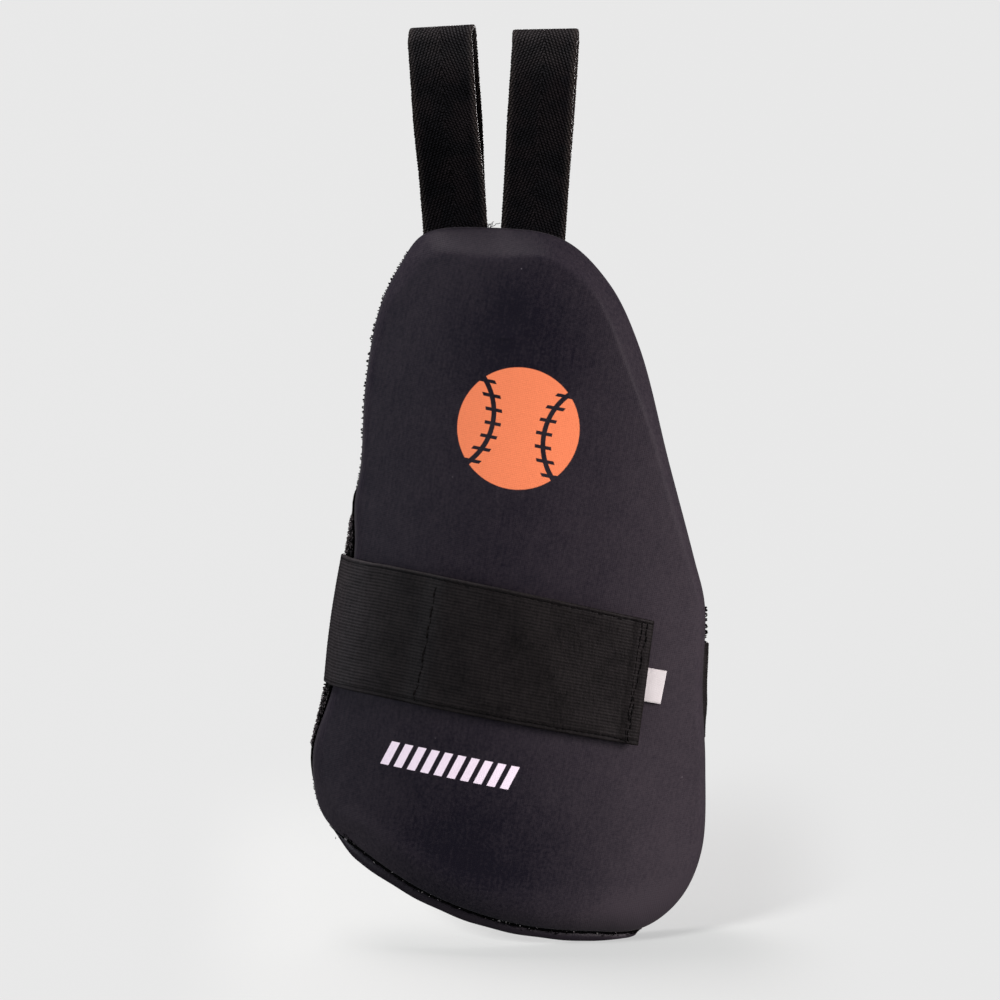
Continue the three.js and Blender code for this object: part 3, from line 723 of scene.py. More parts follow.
# %% Loops of yarn
def tubes(paths, radius, sides, up):
    """Threads with the same number of points each. Up is roughly square to their run."""
    paths = np.asarray(paths, float)
    run = unit(np.gradient(paths, axis=1))
    side = unit(np.cross(run, up))
    over = np.cross(side, run)
    angle = 2 * np.pi * np.arange(sides) / sides
    spokes = side[:, :, None] * np.cos(angle)[:, None] + over[:, :, None] * np.sin(angle)[:, None]
    points = paths[:, :, None] + np.asarray(radius)[..., None, None] * spokes
    numbers = np.arange(points.size // 3).reshape(points.shape[:3])
    ends = np.concatenate([numbers[:, 0], numbers[:, -1]]).tolist()
    return points.reshape(-1, 3), wall_faces(numbers) + ends


def pile(feet, outward, size, thread):
    """Small loops of yarn that stand on the given feet, turned any way."""
    any_way = rng.normal(size=feet.shape)
    across = unit(np.cross(outward, any_way))
    angle = np.linspace(-0.25, np.pi + 0.25, 5)
    size = np.broadcast_to(size, (len(feet), 1))
    high = size[:, 0] * rng.uniform(0.7, 1.2, len(feet))
    lean = rng.normal(0, 0.3, (len(feet), 1)) * np.cross(outward, across)
    up = outward + lean
    paths = feet[:, None] + across[:, None] * np.cos(angle)[:, None] * size[:, None] * 0.55
    paths = paths + up[:, None] * (high[:, None] * np.sin(angle))[..., None]
    return tubes(paths, thread, 3, np.cross(across, outward)[:, None])


# %% Pile on the back
PITCH = 2.3
grid_x, grid_z = np.meshgrid(np.arange(-82, 84, PITCH), np.arange(-124, 142, PITCH * 0.866))
grid_x = grid_x + (np.arange(len(grid_z)) % 2)[:, None] * PITCH / 2
feet = np.stack([grid_x.ravel(), grid_z.ravel()], 1) + rng.normal(0, 0.35, (grid_x.size, 2))
apart = np.hypot(edge[:, 0] - feet[:, :1], edge[:, 1] - feet[:, 1:])
close = apart.argmin(1)
inside = np.einsum("ij,ij->i", feet - edge[close], inward[close]) > 1.2
near_strap = (abs(feet[:, 1] - STRAP_Z) < 29) & (apart.min(1) < 9)
feet = feet[inside & ~near_strap]
x, z = feet.T
away = unit(np.stack([-x / np.sqrt(BEND**2 - x**2), np.ones_like(x), -(z - BOW_CENTRE) / BOW], 1))
points, faces = pile(lifted(feet, GAP + TOWEL - 0.25), away, 1.25, 0.27)
back_pile = piece("towel_pile", part_frame(points), faces, terry)

# %% [markdown]
# ## Pile and fray along the edge
#
# The lip shows from the side and from the front, so its loops are smaller and closer, in five tiers round
# its side and more on its face, in a paler copy of the towelling with painted light. Where the cloth ends
# flush, a few frayed loops of dark yarn stand out past the edge, in a darker copy with painted shade.

# %% Pile on the lip
CLEAR_OF_STRAP = 26
TIERS = 5
# Painted light: the lip's pile is a paler copy of the towelling, lit where the lamps catch it.
edge_terry_painted_light = Finish("terry_edge_painted_light", Roughness=0.9, Specular_IOR_Level=0.0)
fluff = edge_terry_painted_light.noise(0.9, 3).step(0.38, 0.68)
edge_terry_painted_light.feed("Base Color", edge_terry_painted_light.mix((0.0030, 0.0028, 0.0030), (0.115, 0.100, 0.102), fluff))


def join(parts):
    """Several lots of points and faces in one."""
    points, faces, start = [], [], 0
    for more, sides in parts:
        points.append(more)
        faces += [[v + start for v in f] for f in sides]
        start += len(more)
    return np.concatenate(points), faces


at = np.repeat(np.arange(0, STEPS, 0.42), TIERS)
tier = np.tile(np.linspace(0, 1, TIERS), len(at) // TIERS)
at = np.clip(at + rng.normal(0, 0.12, len(at)), 0, STEPS - 1)
shown = along_edge(np.where(whole, 1.0, 0.0), at) > 0.95
shown = shown & (abs(along_edge(edge, at)[:, 1] - STRAP_Z) >= CLEAR_OF_STRAP)
at, tier = at[shown], tier[shown]
inward_at, front_at = along_edge(inward, at), along_edge(front, at)
feet = along_edge(edge, at) - inward_at * (along_edge(outer, at) - 0.25)[:, None]
depth = front_at + 0.3 + tier * (GAP + TOWEL - front_at - 0.6)
away = unit(np.stack([-inward_at[:, 0], (tier - 0.55) * 0.9, -inward_at[:, 1]], 1))
lip_loops = pile(lifted(feet, depth), away, 0.8, 0.2)

at = np.repeat(np.flatnonzero(whole & (abs(edge[:, 1] - STRAP_Z) > CLEAR_OF_STRAP)), 20)
at = np.clip(at + rng.uniform(-0.5, 0.5, len(at)), 0, STEPS - 1)
side_at = along_edge(side, at)
out = side_at + (along_edge(outer, at) - side_at) * rng.uniform(0.1, 1, len(at))
stand = lifted(along_edge(edge, at) - along_edge(inward, at) * out[:, None], along_edge(front, at))
away = np.array([0.0, -1.0, 0.0]) + rng.normal(0, 0.2, stand.shape)
points, faces = join([lip_loops, pile(stand, away, 0.6, 0.2)])
edge_pile = piece("towel_edge_pile", part_frame(points), faces, edge_terry_painted_light)

# %% Frayed loops
FRAYED = [  # from row, to row, step in rows, lowest and highest loop, thread
    (7.05, 7.5, 0.034, 0.4, 0.75, 0.36),
    (17.1, 17.7, 0.028, 0.1, 0.45, 0.15),
    (21.0, 25.4, 0.05, 0.15, 0.5, 0.2),
    (22.4, 23.8, 0.09, 0.35, 0.8, 0.3),
]
# Painted shade: the frayed loops get a darker copy of the towelling, so the lamps don't show them pale.
loose_yarn_painted_shade = Finish("frayed_yarn_painted_shade", Roughness=0.9, Specular_IOR_Level=0.0)
yarn_tone = loose_yarn_painted_shade.noise(0.8)
loose_yarn_painted_shade.feed("Base Color", loose_yarn_painted_shade.mix((0.0006, 0.0006, 0.0006), (0.0060, 0.0054, 0.0054), yarn_tone))


def frayed(start, stop, step, low, high, thread):
    """Small loops of thread that stand out from the edge between two rows of its table."""
    at = np.arange(start, stop, step)
    at = np.interp(at + rng.normal(0, step * 0.3, len(at)), at_row, np.arange(STEPS))
    inward_at = along_edge(inward, at)
    stand = lifted(along_edge(edge, at), rng.uniform(-2.2, 0.6, len(at)))
    away = np.stack([-inward_at[:, 0], 0 * at, -inward_at[:, 1]], 1)
    return pile(stand, away, rng.uniform(low, high, (len(at), 1)), thread)


points, faces = join([frayed(*stretch) for stretch in FRAYED])
fray = piece("towel_fray", part_frame(points), faces, loose_yarn_painted_shade)

# %% [markdown]
# ## The elastic strap
#
# A 50 mm ribbed elastic is sewn into the right side seam, goes behind the leg, comes round the left edge
# and is fastened over the front. Where it is pulled round that edge it is painted paler, as painted light
# from the left. The finish is drawn in the strap's own coordinates: across it, and along it from the free
# end.

# %% Elastic
STRAP_WIDTH, STRAP_HALF_THICK, RIB, BOX_HALF = 50, 0.75, 1.22, 23.4
elastic = Finish("ribbed_elastic", Roughness=0.6, Specular_IOR_Level=0.1)
u, v, _ = elastic.place("UV")
crest = (u + RIB / 4).wave(RIB) * 0.5 + 0.5
patch = elastic.noise(9, 2)
fleck = elastic.noise(0.6, 3)
pulls = elastic.noise(1.1, 2, (u * 0.3, v, 0))
tone = crest * (patch * 1.1 - 0.1) + (pulls - 0.5) + (fleck - 0.5) * 1.2 + (patch - 0.5) * 0.5 + 0.25
cloth = elastic.mix((0.0018, 0.0015, 0.0015), (0.0110, 0.0094, 0.0092), tone)
# Painted light: paler where the strap turns round the left edge, lit from the left.
opened = v.step(100, 127) * (1 - v.step(136, 144))
cloth = elastic.mix(cloth, (0.036, 0.032, 0.034), opened * (0.2 + crest * 0.35 + (pulls - 0.5) * 0.5))
sewn_line = 1 - abs(abs(u) - BOX_HALF).step(0.1, 0.3)
elastic.feed("Base Color", elastic.mix(cloth, (0.0006, 0.0005, 0.0005), sewn_line * 0.85))
elastic.feed("Roughness", 0.68 - crest * 0.12 + (fleck - 0.5) * 0.2)
elastic.bump(pulls * 0.8 + fleck * 0.8, 0.18)
print("elastic made of", len(elastic.tree.nodes), "nodes")

# %% [markdown]
# ## The strap's way round the pad
#
# The path is the solid's own. Nine lines of its width are led through stations from the free end to the
# sewn end, with a smooth curve through them. The left turn bulges in the middle, and the sewn end is
# narrower than the strap.

# %% The strap's path
STRAP_LINES, STRAP_ROWS, STRAP_COLUMNS = 9, 240, 165
END_SLANT, SEWN_WIDTH, RIGHT_TURN = 0.065, 37, 2.55
HOOK_FROM, HOOK_TO, HOOK_WIDTH, HOOK_THICK = -35, 39, 43, 1.6
LEFT_TURN = np.array([  # across from the left edge, and towards the thigh from the inner face there
    (7.5, -21.2), (5.3, -19.9), (3.3, -18.6), (2.0, -17.5), (0.8, -16.0), (-0.3, -13.8), (-0.9, -11.9),
    (-1.5, -8.4), (-2.3, -5.4), (-3.0, -2.6), (-3.3, 0.8), (-2.9, 3.6), (-1.6, 5.3), (1.6, 5.9),
])


def edge_across(z, way):
    """Where a line across the pad meets its edge, on the left or the right."""
    z0, z1 = edge[:, 1], np.roll(edge[:, 1], -1)
    hits = np.flatnonzero((z0 - z) * (z1 - z) <= 0)
    x0, x1 = edge[hits, 0], np.roll(edge[:, 0], -1)[hits]
    return way * np.max(way * (x0 + (x1 - x0) * (z - z0[hits]) / (z1[hits] - z0[hits])))


def over_front(share, left):
    """Stations from the free end over the hook tape to the left turn."""
    end = STRAP_END - END_SLANT * 48.5 * share
    x = np.concatenate([[end], np.linspace(end - 6.7, HOOK_FROM - 1, 10), np.linspace(-42, left + 11.5, 3)])
    way = (x - left) / (end - left)
    z = STRAP_Z + share * (STRAP_WIDTH - 1.5 * way) + 1.2 * (share + 0.5) * np.sin(np.pi * way)
    lift = 0.5 + (HOOK_THICK + 2 * GAP - 0.5) * smooth(x, HOOK_FROM - 7, HOOK_FROM - 1)
    return np.stack([x, front_face(x, z) - lift - STRAP_HALF_THICK, z], 1)


def right_end(share):
    """Stations round the right turn and into the seam."""
    z = STRAP_Z + share * SEWN_WIDTH
    right = edge_across(z, 1)
    slope = math.asin(right / BEND)
    angle = np.linspace(np.pi, 0, 7)
    tucked = 0.75 + 0.25 * smooth(share, 0.3, 0.5) + 1.9 * smooth(-share, 0.12, 0.5)
    far, deep = RIGHT_TURN * np.sin(angle) - tucked, 1.3 - RIGHT_TURN * np.cos(angle)
    x = right + far * math.cos(slope) - deep * math.sin(slope)
    y = inner_face(right, z) + far * math.sin(slope) + deep * math.cos(slope)
    tab = right - np.array([4.5, 9])
    x = np.concatenate([x, tab])
    y = np.concatenate([y, inner_face(tab, z) - 1.25 / math.cos(slope)])
    return np.stack([x, y, 0 * x + z], 1)


def strap_line(share):
    """One line of the strap from its free end to its sewn end."""
    z = STRAP_Z + share * STRAP_WIDTH
    left = edge_across(z, -1) - 1.45 * (1 - (2 * share) ** 2) - 1.1 * (share + 0.5)
    turn_x, turn_y = LEFT_TURN.T
    around = np.stack([left + turn_x, inner_face(left, z) + turn_y, 0 * turn_x + z], 1)
    sewn = right_end(share)
    t = np.linspace(0, 1, 9)[1:-1, None]
    behind = around[-1] + (sewn[0] - around[-1]) * t
    behind[:, 1] += 6 * np.sin(np.pi * t[:, 0])
    return spline(np.vstack([over_front(share, left), around, behind, sewn]), STRAP_ROWS)[0]


lines = np.stack([strap_line(share) for share in np.linspace(-0.5, 0.5, STRAP_LINES)])
columns = np.linspace(-0.5, 0.5, STRAP_COLUMNS)
between_lines = (columns + 0.5) * (STRAP_LINES - 1)
low = np.clip(between_lines.astype(int), 0, STRAP_LINES - 2)
part = (between_lines - low)[:, None, None]
path = np.swapaxes(lines[low] * (1 - part) + lines[low + 1] * part, 0, 1)
strap_travel = travelled(path[:, STRAP_COLUMNS // 2])

# %% [markdown]
# ## The strap's cloth
#
# The path becomes a sheet. Its outside gets real relief that catches the light at the turns: ribs, rounded
# selvedges, the folded end, dips where it is sewn down, creases before the left turn and a slight puff.


# %% Strap
def sheet_faces(rows, columns):
    """Quads of a closed sheet: its face, its back and the border between them."""
    face = np.arange(rows * columns).reshape(rows, columns)
    sides = face, face + rows * columns
    quads = [np.stack([g[:-1, :-1], g[:-1, 1:], g[1:, 1:], g[1:, :-1]], -1).reshape(-1, 4) for g in sides]
    border = np.concatenate([face[0], face[1:, -1], face[-1, -2::-1], face[-2::-1, 0]])
    far = border + rows * columns
    rim = np.stack([border[:-1], border[1:], far[1:], far[:-1]], -1)
    return np.concatenate([*quads, rim]).tolist()


def sheet_piece(name, face, back, finish, across=None, along=None):
    """A closed sheet from the points of its two sides. Across and along it are its weave's coordinates."""
    uv = None
    if across is not None:
        weave = np.stack(np.broadcast_arrays(across, along[:, None]), -1).reshape(-1, 2)
        uv = np.concatenate([weave, weave])
    points = np.concatenate([face.reshape(-1, 3), back.reshape(-1, 3)])
    return piece(name, points, sheet_faces(*face.shape[:2]), finish, uv)


way = unit(np.gradient(path[..., :2], axis=0))
across = columns * STRAP_WIDTH
selvedge = STRAP_WIDTH / 2 - abs(across)
path_x, path_z = path[..., 0], path[..., 2] - STRAP_Z
ahead = (np.arange(STRAP_ROWS) < STRAP_ROWS // 2)[:, None] & (path_x > -66)
from_end = STRAP_END - path_x - END_SLANT * path_z
POSTS = -38.3 + 0.6 * (1 - (path_z / 24) ** 2), 44.1 - 0.026 * path_z, 42.7 - 0.045 * path_z

rib = (np.cos(2 * np.pi * across / RIB) + 0.35 * np.cos(np.pi * across / RIB)) * 0.37 + 0.5
worn = 0.75 + 0.25 * np.sin(path_x / 5.3 + path_z / 3.1) * np.sin(path_x / 2.9 - path_z / 6.7)
rib = np.where(selvedge < 1.7, 0.75, rib) * worn
edge_round = 0.5 * (1 - np.sqrt(1 - (1 - np.clip(selvedge / 0.7, 0, 1)) ** 2))
folded = 0.7 * smooth(7.1 - from_end, 0, 1) * ahead
dips = 0.8 * np.exp(-((selvedge - 1.6) / 0.3) ** 2) + sum(np.exp(-((path_x - x) / 0.5) ** 2) for x in POSTS)
sewn = 0.36 * np.clip(dips, 0, 1.4) * ahead
creases = 0.30 * np.sin(path_x / 3.4 + path_z / 21) * smooth(-path_x, 42, 58) * (1 - (path_z / 26) ** 2)
puff = (0.18 * np.sin(path_x / 6.1 + path_z / 9) * smooth(selvedge, 1.5, 6) + creases) * ahead
tip = 0.8 * (1 - smooth(from_end, 0, 1.1)) ** 2 * ahead
outside = STRAP_HALF_THICK - 0.17 + 0.17 * rib - edge_round + folded - sewn + puff - tip
inside = -STRAP_HALF_THICK + 0.15 - 0.15 * rib + edge_round * 0.6 + tip * 0.5
normal = np.stack([-way[..., 1], way[..., 0], way[..., 0] * 0], -1)
face, back = path + normal * outside[..., None], path + normal * inside[..., None]
strap = sheet_piece("elastic_strap", part_frame(face), part_frame(back), elastic, across, strap_travel)

# %% [markdown]
# ## Stitches
#
# Thread shows where pieces are joined: a long box of stitches holds the hook tape to the strap. A stitch is
# a short thread that comes out of the cloth, lies on it and goes back in. A line on the surface is cut to
# equal lengths, and the stitches stray from it as real ones do.


# %% Stitches on the strap
def stitches(line, pitch, length, radius, rise, stray=0.0):
    """Stitches along a line of points on a surface that faces the front."""
    count = max(2, round(travelled(line)[-1] / pitch) + 1)
    middles, _ = spline(line, count)
    middles = middles + rng.normal(0, 1, (count, 3)) * [stray, 0, stray]
    ahead = unit(np.gradient(middles, axis=0))
    t = np.linspace(-0.5, 0.5, 6)
    paths = middles[:, None] + ahead[:, None] * (t * length)[:, None]
    paths[..., 1] -= rise * (1 - (2 * t) ** 2) - rise * 0.45
    return tubes(paths, radius * np.array([0.6, 0.95, 1, 1, 0.95, 0.6]), 6, FORWARD)


def on_strap(x, column):
    """A point on the front of the strap."""
    half = slice(0, STRAP_ROWS // 2)
    return [np.interp(-x, -path_x[half, column], face[half, column, axis]) for axis in range(3)]


FORWARD = np.array([0, -1.0, 0])
thread = Finish("black_thread", Roughness=0.7, Specular_IOR_Level=0.05)
thread.feed("Base Color", thread.mix((0.0014, 0.0012, 0.0012), (0.0056, 0.0050, 0.0048), thread.noise(2.5)))
thread.bump(thread.noise(0.3), 0.08)

low_column, top_column = np.searchsorted(across, (-BOX_HALF, BOX_HALF))
between = range(low_column, top_column + 1, 6)
box = [[on_strap(x, column) for x in np.linspace(-37, 43, 24)] for column in (low_column, top_column)]
box += [[on_strap(post[20, column], column) for column in between] for post in POSTS]
sewn_box = [stitches(np.array(line) + 0.05 * FORWARD, 2.6, 2.3, 0.25, 0.2, 0.2) for line in box]
points, faces = join(sewn_box)
strap_stitches = piece("strap_stitches", part_frame(points), faces, thread)

# %% [markdown]
# ## The seam above the hem
#
# Where the hem meets the cover lies a lumpy cord of thread, with fuzz over its right half, a tangle at its
# left end where it was cut, and a row of stitches. The dark cord also stands for the shade in the groove,
# and the tangle for the shade in the tuck, as painted shade. Here and there pale specks show, partly pale
# thread and partly painted glints.

# %% Stitches on the hem
KNOT_X, KNOT_Z, KNOT_LOOPS = -51.6, -102.8, 70
hem_thread = Finish("hem_thread", Roughness=0.8, Specular_IOR_Level=0.05)
# Pale specks: partly pale thread, partly painted glints.
pale_thread_and_painted_glint = hem_thread.noise(1.0, 1).step(0.69, 0.71)
hem_thread.feed("Base Color", hem_thread.mix((0.0012, 0.0011, 0.0013), (0.30, 0.28, 0.28), pale_thread_and_painted_glint))
hem_thread.bump(hem_thread.noise(0.3), 0.08)

groove = lifted(hem_edge - hem_in * 0.3, -2.7)
lumps = 1 + 0.25 * np.sin(waver_at / 0.8) + rng.normal(0, 0.22, hem_steps)
# Painted shade: the dark cord is thread, and it also fills the groove to stand for the groove's shade.
cord = tubes([groove], 0.62 * size * np.clip(lumps, 0.4, 1.7), 8, FORWARD)
tangle = np.concatenate([groove[2:110], groove[-70:-56]])
tangle = tangle + rng.normal(0, 0.6, tangle.shape) * [1, 0.3, 1]
# Painted shade: a dark tangle of cut thread is put in the tuck to stand for its shade.
knot_and_tuck_shade = np.array([KNOT_X, inner_face(KNOT_X, KNOT_Z) - 7.2, KNOT_Z])
knot_and_tuck_shade = knot_and_tuck_shade + rng.normal(0, 1, (KNOT_LOOPS, 3)) * [2.2, 0.3, 1.1]
tangle = np.concatenate([tangle, knot_and_tuck_shade])
fuzz = pile(tangle, np.broadcast_to(FORWARD, tangle.shape), 0.7, 0.14)
hem_row = stitches(groove[30:-40:6] + 0.6 * FORWARD, 2.9, 1.0, 0.22, 0.3)
points, faces = join([cord, fuzz, hem_row])
hem_stitches = piece("hem_stitches", part_frame(points), faces, hem_thread)

# %% [markdown]
# ## Hook tape and label
#
# A patch of hook tape under the strap's end holds it, with its hooks towards the cover. Only its edge
# shows. The white woven label is a short tape, folded double, with both ends under the end of the strap. It
# is left blank.

# %% Hook tape
HOOK_PITCH = 1.9
nylon = Finish("hook_nylon", Roughness=0.55, Specular_IOR_Level=0.4)
nylon_tone = nylon.noise(1.2)
nylon.feed("Base Color", nylon.mix((0.004, 0.004, 0.004), (0.014, 0.014, 0.014), nylon_tone))
nylon.bump(nylon_tone, 0.2)

tape_z = STRAP_Z + HOOK_WIDTH * np.linspace(-0.5, 0.5, 24)
tape_x, tape_z = np.meshgrid(np.linspace(HOOK_FROM, HOOK_TO, 50), tape_z, indexing="ij")
tape_y = front_face(tape_x, tape_z) - GAP
tape_sides = [part_frame(np.stack([tape_x, tape_y - lift, tape_z], -1)) for lift in (HOOK_THICK, 0.85)]
tape = sheet_piece("hook_tape", *tape_sides, nylon)

hook_z = STRAP_Z + np.arange(-20.5, 20.6, HOOK_PITCH)
hook_x, hook_z = np.meshgrid(np.arange(HOOK_FROM + 1, HOOK_TO - 0.5, HOOK_PITCH), hook_z)
stand = np.stack([hook_x, front_face(hook_x, hook_z) - GAP - 0.9, hook_z], -1).reshape(-1, 3)
points, faces = pile(stand, np.broadcast_to(-FORWARD, stand.shape), 0.62, 0.12)
hooks = piece("hook_tape_hooks", part_frame(points), faces, nylon)

# %% Label
LABEL_Z, LABEL_HALF, LABEL_FROM, LABEL_TO = -21.6, 6.5, 43.7, 54.4
woven = Finish("white_label", Roughness=0.6, Specular_IOR_Level=0.3, Sheen_Weight=0.1)
u, v, _ = woven.place("UV")
twill = (u + v).wave(0.55) * 0.5 + 0.5
border = 1 - (LABEL_HALF - abs(u)).step(0.35, 0.6)
shade = twill * 0.35 + woven.noise(3) * 0.4 + border * 0.3
woven.feed("Base Color", woven.mix((0.485, 0.48, 0.475), (0.42, 0.405, 0.395), shade))
woven.bump(twill, 0.06)

out_along = np.linspace(LABEL_FROM, LABEL_TO, 22)
fold = np.linspace(0.3, np.pi - 0.3, 7)
reach = np.concatenate([out_along, LABEL_TO + 0.35 * np.sin(fold), out_along[::-1]])
height = np.concatenate([np.full(22, 1.08), 0.78 + 0.30 * np.cos(fold), np.full(22, 0.48)])
label_across = np.linspace(-LABEL_HALF, LABEL_HALF, 19)
label_x, label_z = np.meshgrid(reach, LABEL_Z + label_across, indexing="ij")
kink = 0.7 * smooth(label_x, 48, 55) * smooth(-label_z, 21, 30)
kink = kink + 0.25 * np.sin((label_x - 47) / 2.2) * smooth(label_x, 47.5, 50)
label_y = front_face(label_x, label_z) - height[:, None] - np.maximum(kink, -0.1) - 0.12
label_path = np.stack([label_x, label_y, label_z], -1)
step = unit(np.gradient(np.stack([reach, -height], 1), axis=0))
label_normal = np.stack([step[:, 1], -step[:, 0], step[:, 0] * 0], 1)[:, None] * 0.13
label_travel = travelled(np.stack([reach, height], 1))
label_sides = [part_frame(label_path + label_normal * way) for way in (1, -1)]
label = sheet_piece("woven_label", *label_sides, woven, label_across, label_travel)

# %% [markdown]
# ## The belt loops
#
# Each loop is 25 mm herringbone webbing, folded over the belt, with both ends sewn into the top seam. Its
# lines are only a millimetre and a quarter apart, so they are relief in the finish, drawn in the tape's own
# coordinates. The borders are worn paler, and the fold at the top has a painted highlight from the top lamp.

# %% Herringbone
TWILL, BEAD = 1.25, 1.15
webbing = Finish("herringbone", Roughness=0.7, Specular_IOR_Level=0.02)
u, v, _ = webbing.place("UV")
_, _, z = webbing.place()
waver = webbing.noise(2.2, 2)
dust = webbing.noise(0.7, 3)
fade = webbing.noise(9, 2)
diagonal = v * 0.37 + abs(u) + waver * 0.45
ridge = abs(diagonal.wave(TWILL * 2)).step(0.15, 0.95)
bead = abs((v + diagonal * 0.4 + dust * 0.3).wave(BEAD * 2)).step(0.2, 0.85)
yarn = ridge * (0.2 + bead * 0.9)
middle = 1 - abs(u).step(0.15, 0.5)
border = abs(u).step(9.6, 12.2)
# Wear on the borders, and a painted highlight on the fold at the top.
worn = border * 0.9 + z.step(-20, -4) * 0.35 + (fade - 0.5) * 0.7
tone = yarn * (0.5 + worn * 0.8) + (dust - 0.5) * 0.7 + worn * 0.12
tint = webbing.mix((0.0160, 0.0158, 0.0178), (0.0192, 0.0160, 0.0172), fade.step(0.40, 0.60))
tint = webbing.mix(tint, (0.030, 0.0255, 0.0230), border)
# Painted highlight: paler grey on the fold at the top, where the top lamp falls.
tint = webbing.mix(tint, (0.040, 0.040, 0.039), z.step(-18, -3) * 0.35)
webbing.feed("Base Color", webbing.mix((0.0001, 0.0001, 0.0002), tint, tone))
webbing.feed("Roughness", 0.7 - yarn * 0.2)
webbing.bump(yarn - middle * 0.5 + dust * 0.3, 0.45)
print("webbing made of", len(webbing.tree.nodes), "nodes")

# %% Loops
LOOPS = {  # seam x, top x, top y, top z, turn in degrees, rise of the right edge
    "loop_left": (LOOP_SEAMS[0], -20.2, 3, 5.4, 11, 0.06),
    "loop_right": (LOOP_SEAMS[1], 19.4, -2, 4.4, 5, 0.02),
}
WEB_THICK, SEWN_HALF, OPEN_HALF, WEB_TAB = 1.4, 0.85, 5.2, 12
WEB_COLUMNS = 31


def belt_loop(name):
    """One loop: up from the seam, over the belt and down again. It turns and opens on its way up."""
    seam_x, top_x, top_y, top_z, turn, lift = LOOPS[name]
    top = top_z - OPEN_HALF - WEB_THICK / 2 - SEAM_Z
    leg, arc = np.linspace(-WEB_TAB, top, 230), np.linspace(0, np.pi, 40)[1:-1]
    height = np.concatenate([leg, arc * 0 + top, leg[::-1]])[:, None]
    angle = np.concatenate([leg * 0, arc, leg * 0 + np.pi])[:, None]
    across = np.linspace(-WEBBING_HALF, WEBBING_HALF, WEB_COLUMNS)[None]
    ragged = 0.11 * np.sin(2 * np.pi * height / BEAD) + rng.normal(0, 0.06, height.shape)
    across = across + np.sign(across) * ragged * smooth(abs(across), WEBBING_HALF - 1.5, WEBBING_HALF)
    share = height / top
    opened = smooth(share, 0, 0.65)
    half = SEWN_HALF + (OPEN_HALF - SEWN_HALF) * opened
    twist = math.radians(turn) * opened
    middle = seam_x + (top_x - seam_x) * share
    sewn_y = inner_face(*own_frame(middle + across, SEAM_Z + np.minimum(height, 0))) + PLACE[1] - 1.8
    upper_y = top_y - across * math.sin(math.radians(turn))
    from_border = np.clip((WEBBING_HALF - abs(across)) / 0.6, 0, 1)
    flat_edge = 0.35 * (1 - np.sqrt(1 - (1 - from_border) ** 2))
    wavy = 0.25 * np.sin(height / 9 + seam_x) * smooth(share, 0.1, 0.4) * np.cos(angle)

    def side(way):
        radius = half + way * (WEB_THICK / 2 - flat_edge)
        forward, up = radius * np.cos(angle) + wavy, radius * np.sin(angle)
        x = middle + across * np.cos(twist) - forward * np.sin(twist)
        y = sewn_y + (upper_y - sewn_y) * opened - forward * np.cos(twist)
        z = SEAM_Z + height + up + across * lift * np.maximum(share, 0)
        return np.stack(np.broadcast_arrays(x, y, z), -1)

    outer, inner = side(1), side(-1)
    travel = travelled((outer + inner)[:, WEB_COLUMNS // 2] / 2)
    made = sheet_piece("webbing_" + name, outer, inner, webbing, across, travel)
    return made, travel[-1]


loops = {name: belt_loop(name) for name in LOOPS}
print({name: round(length) for name, (_, length) in loops.items()}, "mm of webbing")

# %% [markdown]
# ## Loose thread ends
#
# Where a seam ends, the thread is cut and a few ends stand out: between the loops, and at the right end of
# the hem. They are bent threads with a little tangle, from a seeded random walk.


# %% Thread ends
def ends(middle, count, reach, radius):
    """A few curled threads round one place in the frame of the part."""
    walks = np.cumsum(rng.normal(0, reach / 3.2, (count, 6, 3)), axis=1) * np.array([1, 0.5, 1])
    paths = [spline(np.asarray(middle) + walk - walk[0] * 0.6, 22)[0] for walk in walks]
    return tubes(np.stack(paths), radius, 5, np.array([0.1, -1.0, 0.2]))


hem_knot = part_frame(groove[4] + [0, -0.6, 0.3])
points, faces = join([ends((-2.2, 0.5, -72.5), 5, 2.6, 0.13), ends(hem_knot, 9, 2.2, 0.14)])
thread_ends = piece("thread_ends", points, faces, thread)

# %% [markdown]
# ## Floor
#
# The stage is a paper sweep that rises gently under the pad and curves up into a wall, so no line shows
# where they meet. The paper glows, which keeps the background even. Near the pad it takes light, and so a
# shadow. It is see-through from behind, and a small lamp there lights the back.

# %% Sweep
FLOOR_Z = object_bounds()[0].z * 1000 - 0.4
TILT = math.radians(12)
FOOT_Y, APRON, SWEEP_RADIUS, WALL, HALF_WIDTH = 12, 370, 500, 1500, 2500


def on_curve(angle):
    """A point of the sweep's curve, as y and z, where the paper has risen to this angle."""
    y = FOOT_Y + SWEEP_RADIUS * (math.sin(angle) - math.sin(TILT))
    return y, FLOOR_Z + SWEEP_RADIUS * (math.cos(TILT) - math.cos(angle))


profile = [(FOOT_Y - APRON * math.cos(TILT), FLOOR_Z - APRON * math.sin(TILT))]
profile += [on_curve(angle) for angle in np.linspace(TILT, np.pi / 2, 24)]
profile += [(profile[-1][0], profile[-1][1] + WALL)]

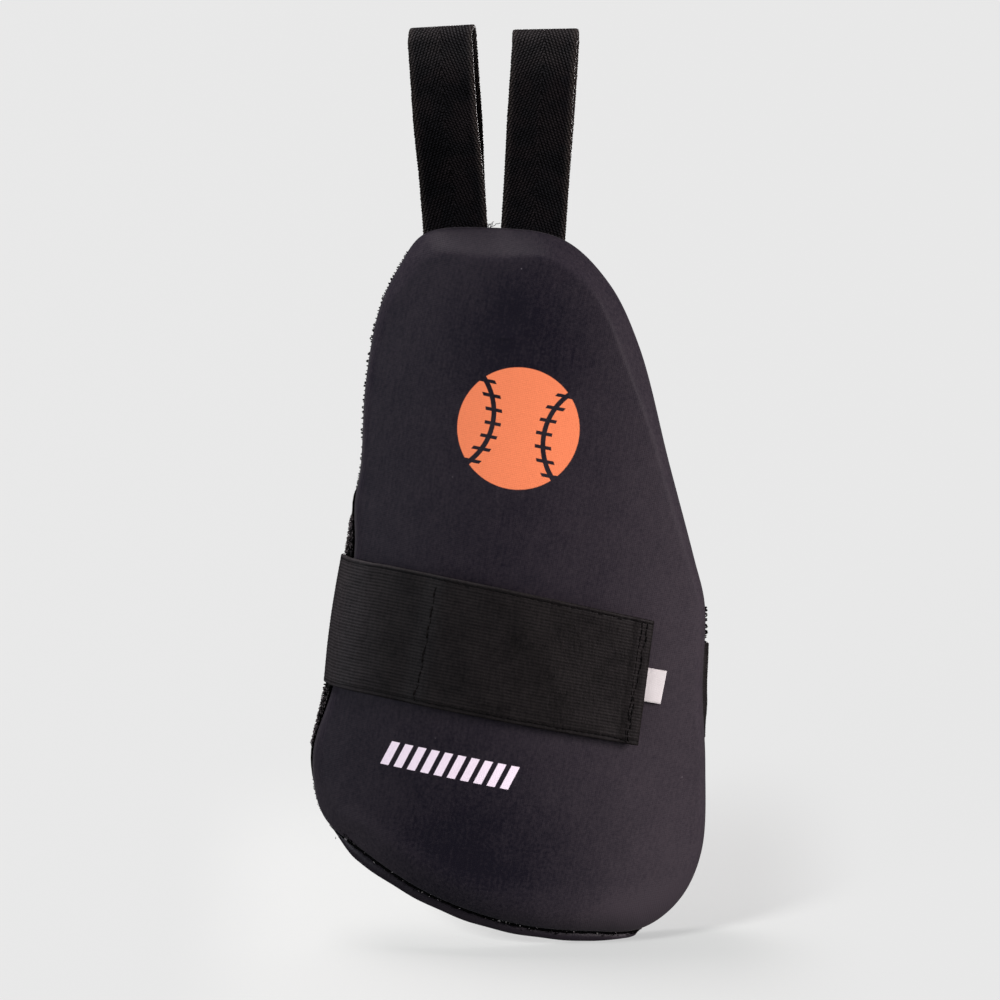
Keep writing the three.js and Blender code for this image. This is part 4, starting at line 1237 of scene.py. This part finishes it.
paper = Finish("paper", Roughness=0.9, Specular_IOR_Level=0.0, Emission_Strength=0.53)
x, _, z = paper.place()
lit = (1 - z.step(FLOOR_Z + 20, FLOOR_Z + 66)) * (1 - abs(x - 10).step(85, 140))
fibres = 0.97 + paper.noise(2, 3) * 0.06
paper.feed("Emission Color", paper.mix((1.5, 1.5, 1.5), (0.96, 0.96, 0.96), lit))
paper.feed("Alpha", 1 - paper.node("ShaderNodeNewGeometry", out="Backfacing"))
paper.feed("Base Color", paper.mix((0.01, 0.01, 0.01), (0.22, 0.225, 0.22), lit * fibres))

sweep_points = [(x, y, z) for y, z in profile for x in (-HALF_WIDTH, HALF_WIDTH)]
sweep_faces = [[2 * i, 2 * i + 1, 2 * i + 3, 2 * i + 2] for i in range(len(profile) - 1)]
sweep = piece("paper_sweep", sweep_points, sweep_faces, paper, lit_with=stage)
sweep.visible_glossy = False
if sweep.data.polygons[-1].normal.y > 0:
    sweep.data.flip_normals()

behind = bpy.data.collections.new("behind")
for made in (towel, back_pile, strap, loops["loop_left"][0], loops["loop_right"][0]):
    behind.objects.link(made)
soft_light("back", (0.1, 0.36, -0.05), 0.3, 5, (1.0, 0.96, 0.96), behind)

# %% [markdown]
# ## Which solid each piece stands for
#
# Every piece stays with the pad and stands for its solid, which is hidden. The strap, loops, label, tape
# and towelling are sheets. The towelling is cut to the pad's outline, with a little more for its edge.

# %% Attach the pieces and hide the solids
BELONGS = [
    ("front_pad", "cover", [cover]),
    ("back_panel", "towelling", [towel, back_pile, edge_pile, fray]),
    ("bottom_hem", "hem", [hem, hem_stitches]),
    ("leg_strap", "elastic", [strap, strap_stitches]),
    ("hook_patch", "hook_tape", [tape, hooks]),
    ("size_label", "label", [label]),
    ("loop_left", "webbing", [loops["loop_left"][0]]),
    ("loop_right", "webbing", [loops["loop_right"][0]]),
    ("bottom_hem", "hem", [thread_ends]),
]
for node, slot, pieces in BELONGS:
    for made in pieces:
        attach(made, "root")
        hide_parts(node)

for made, length in loops.values():
    length * MM
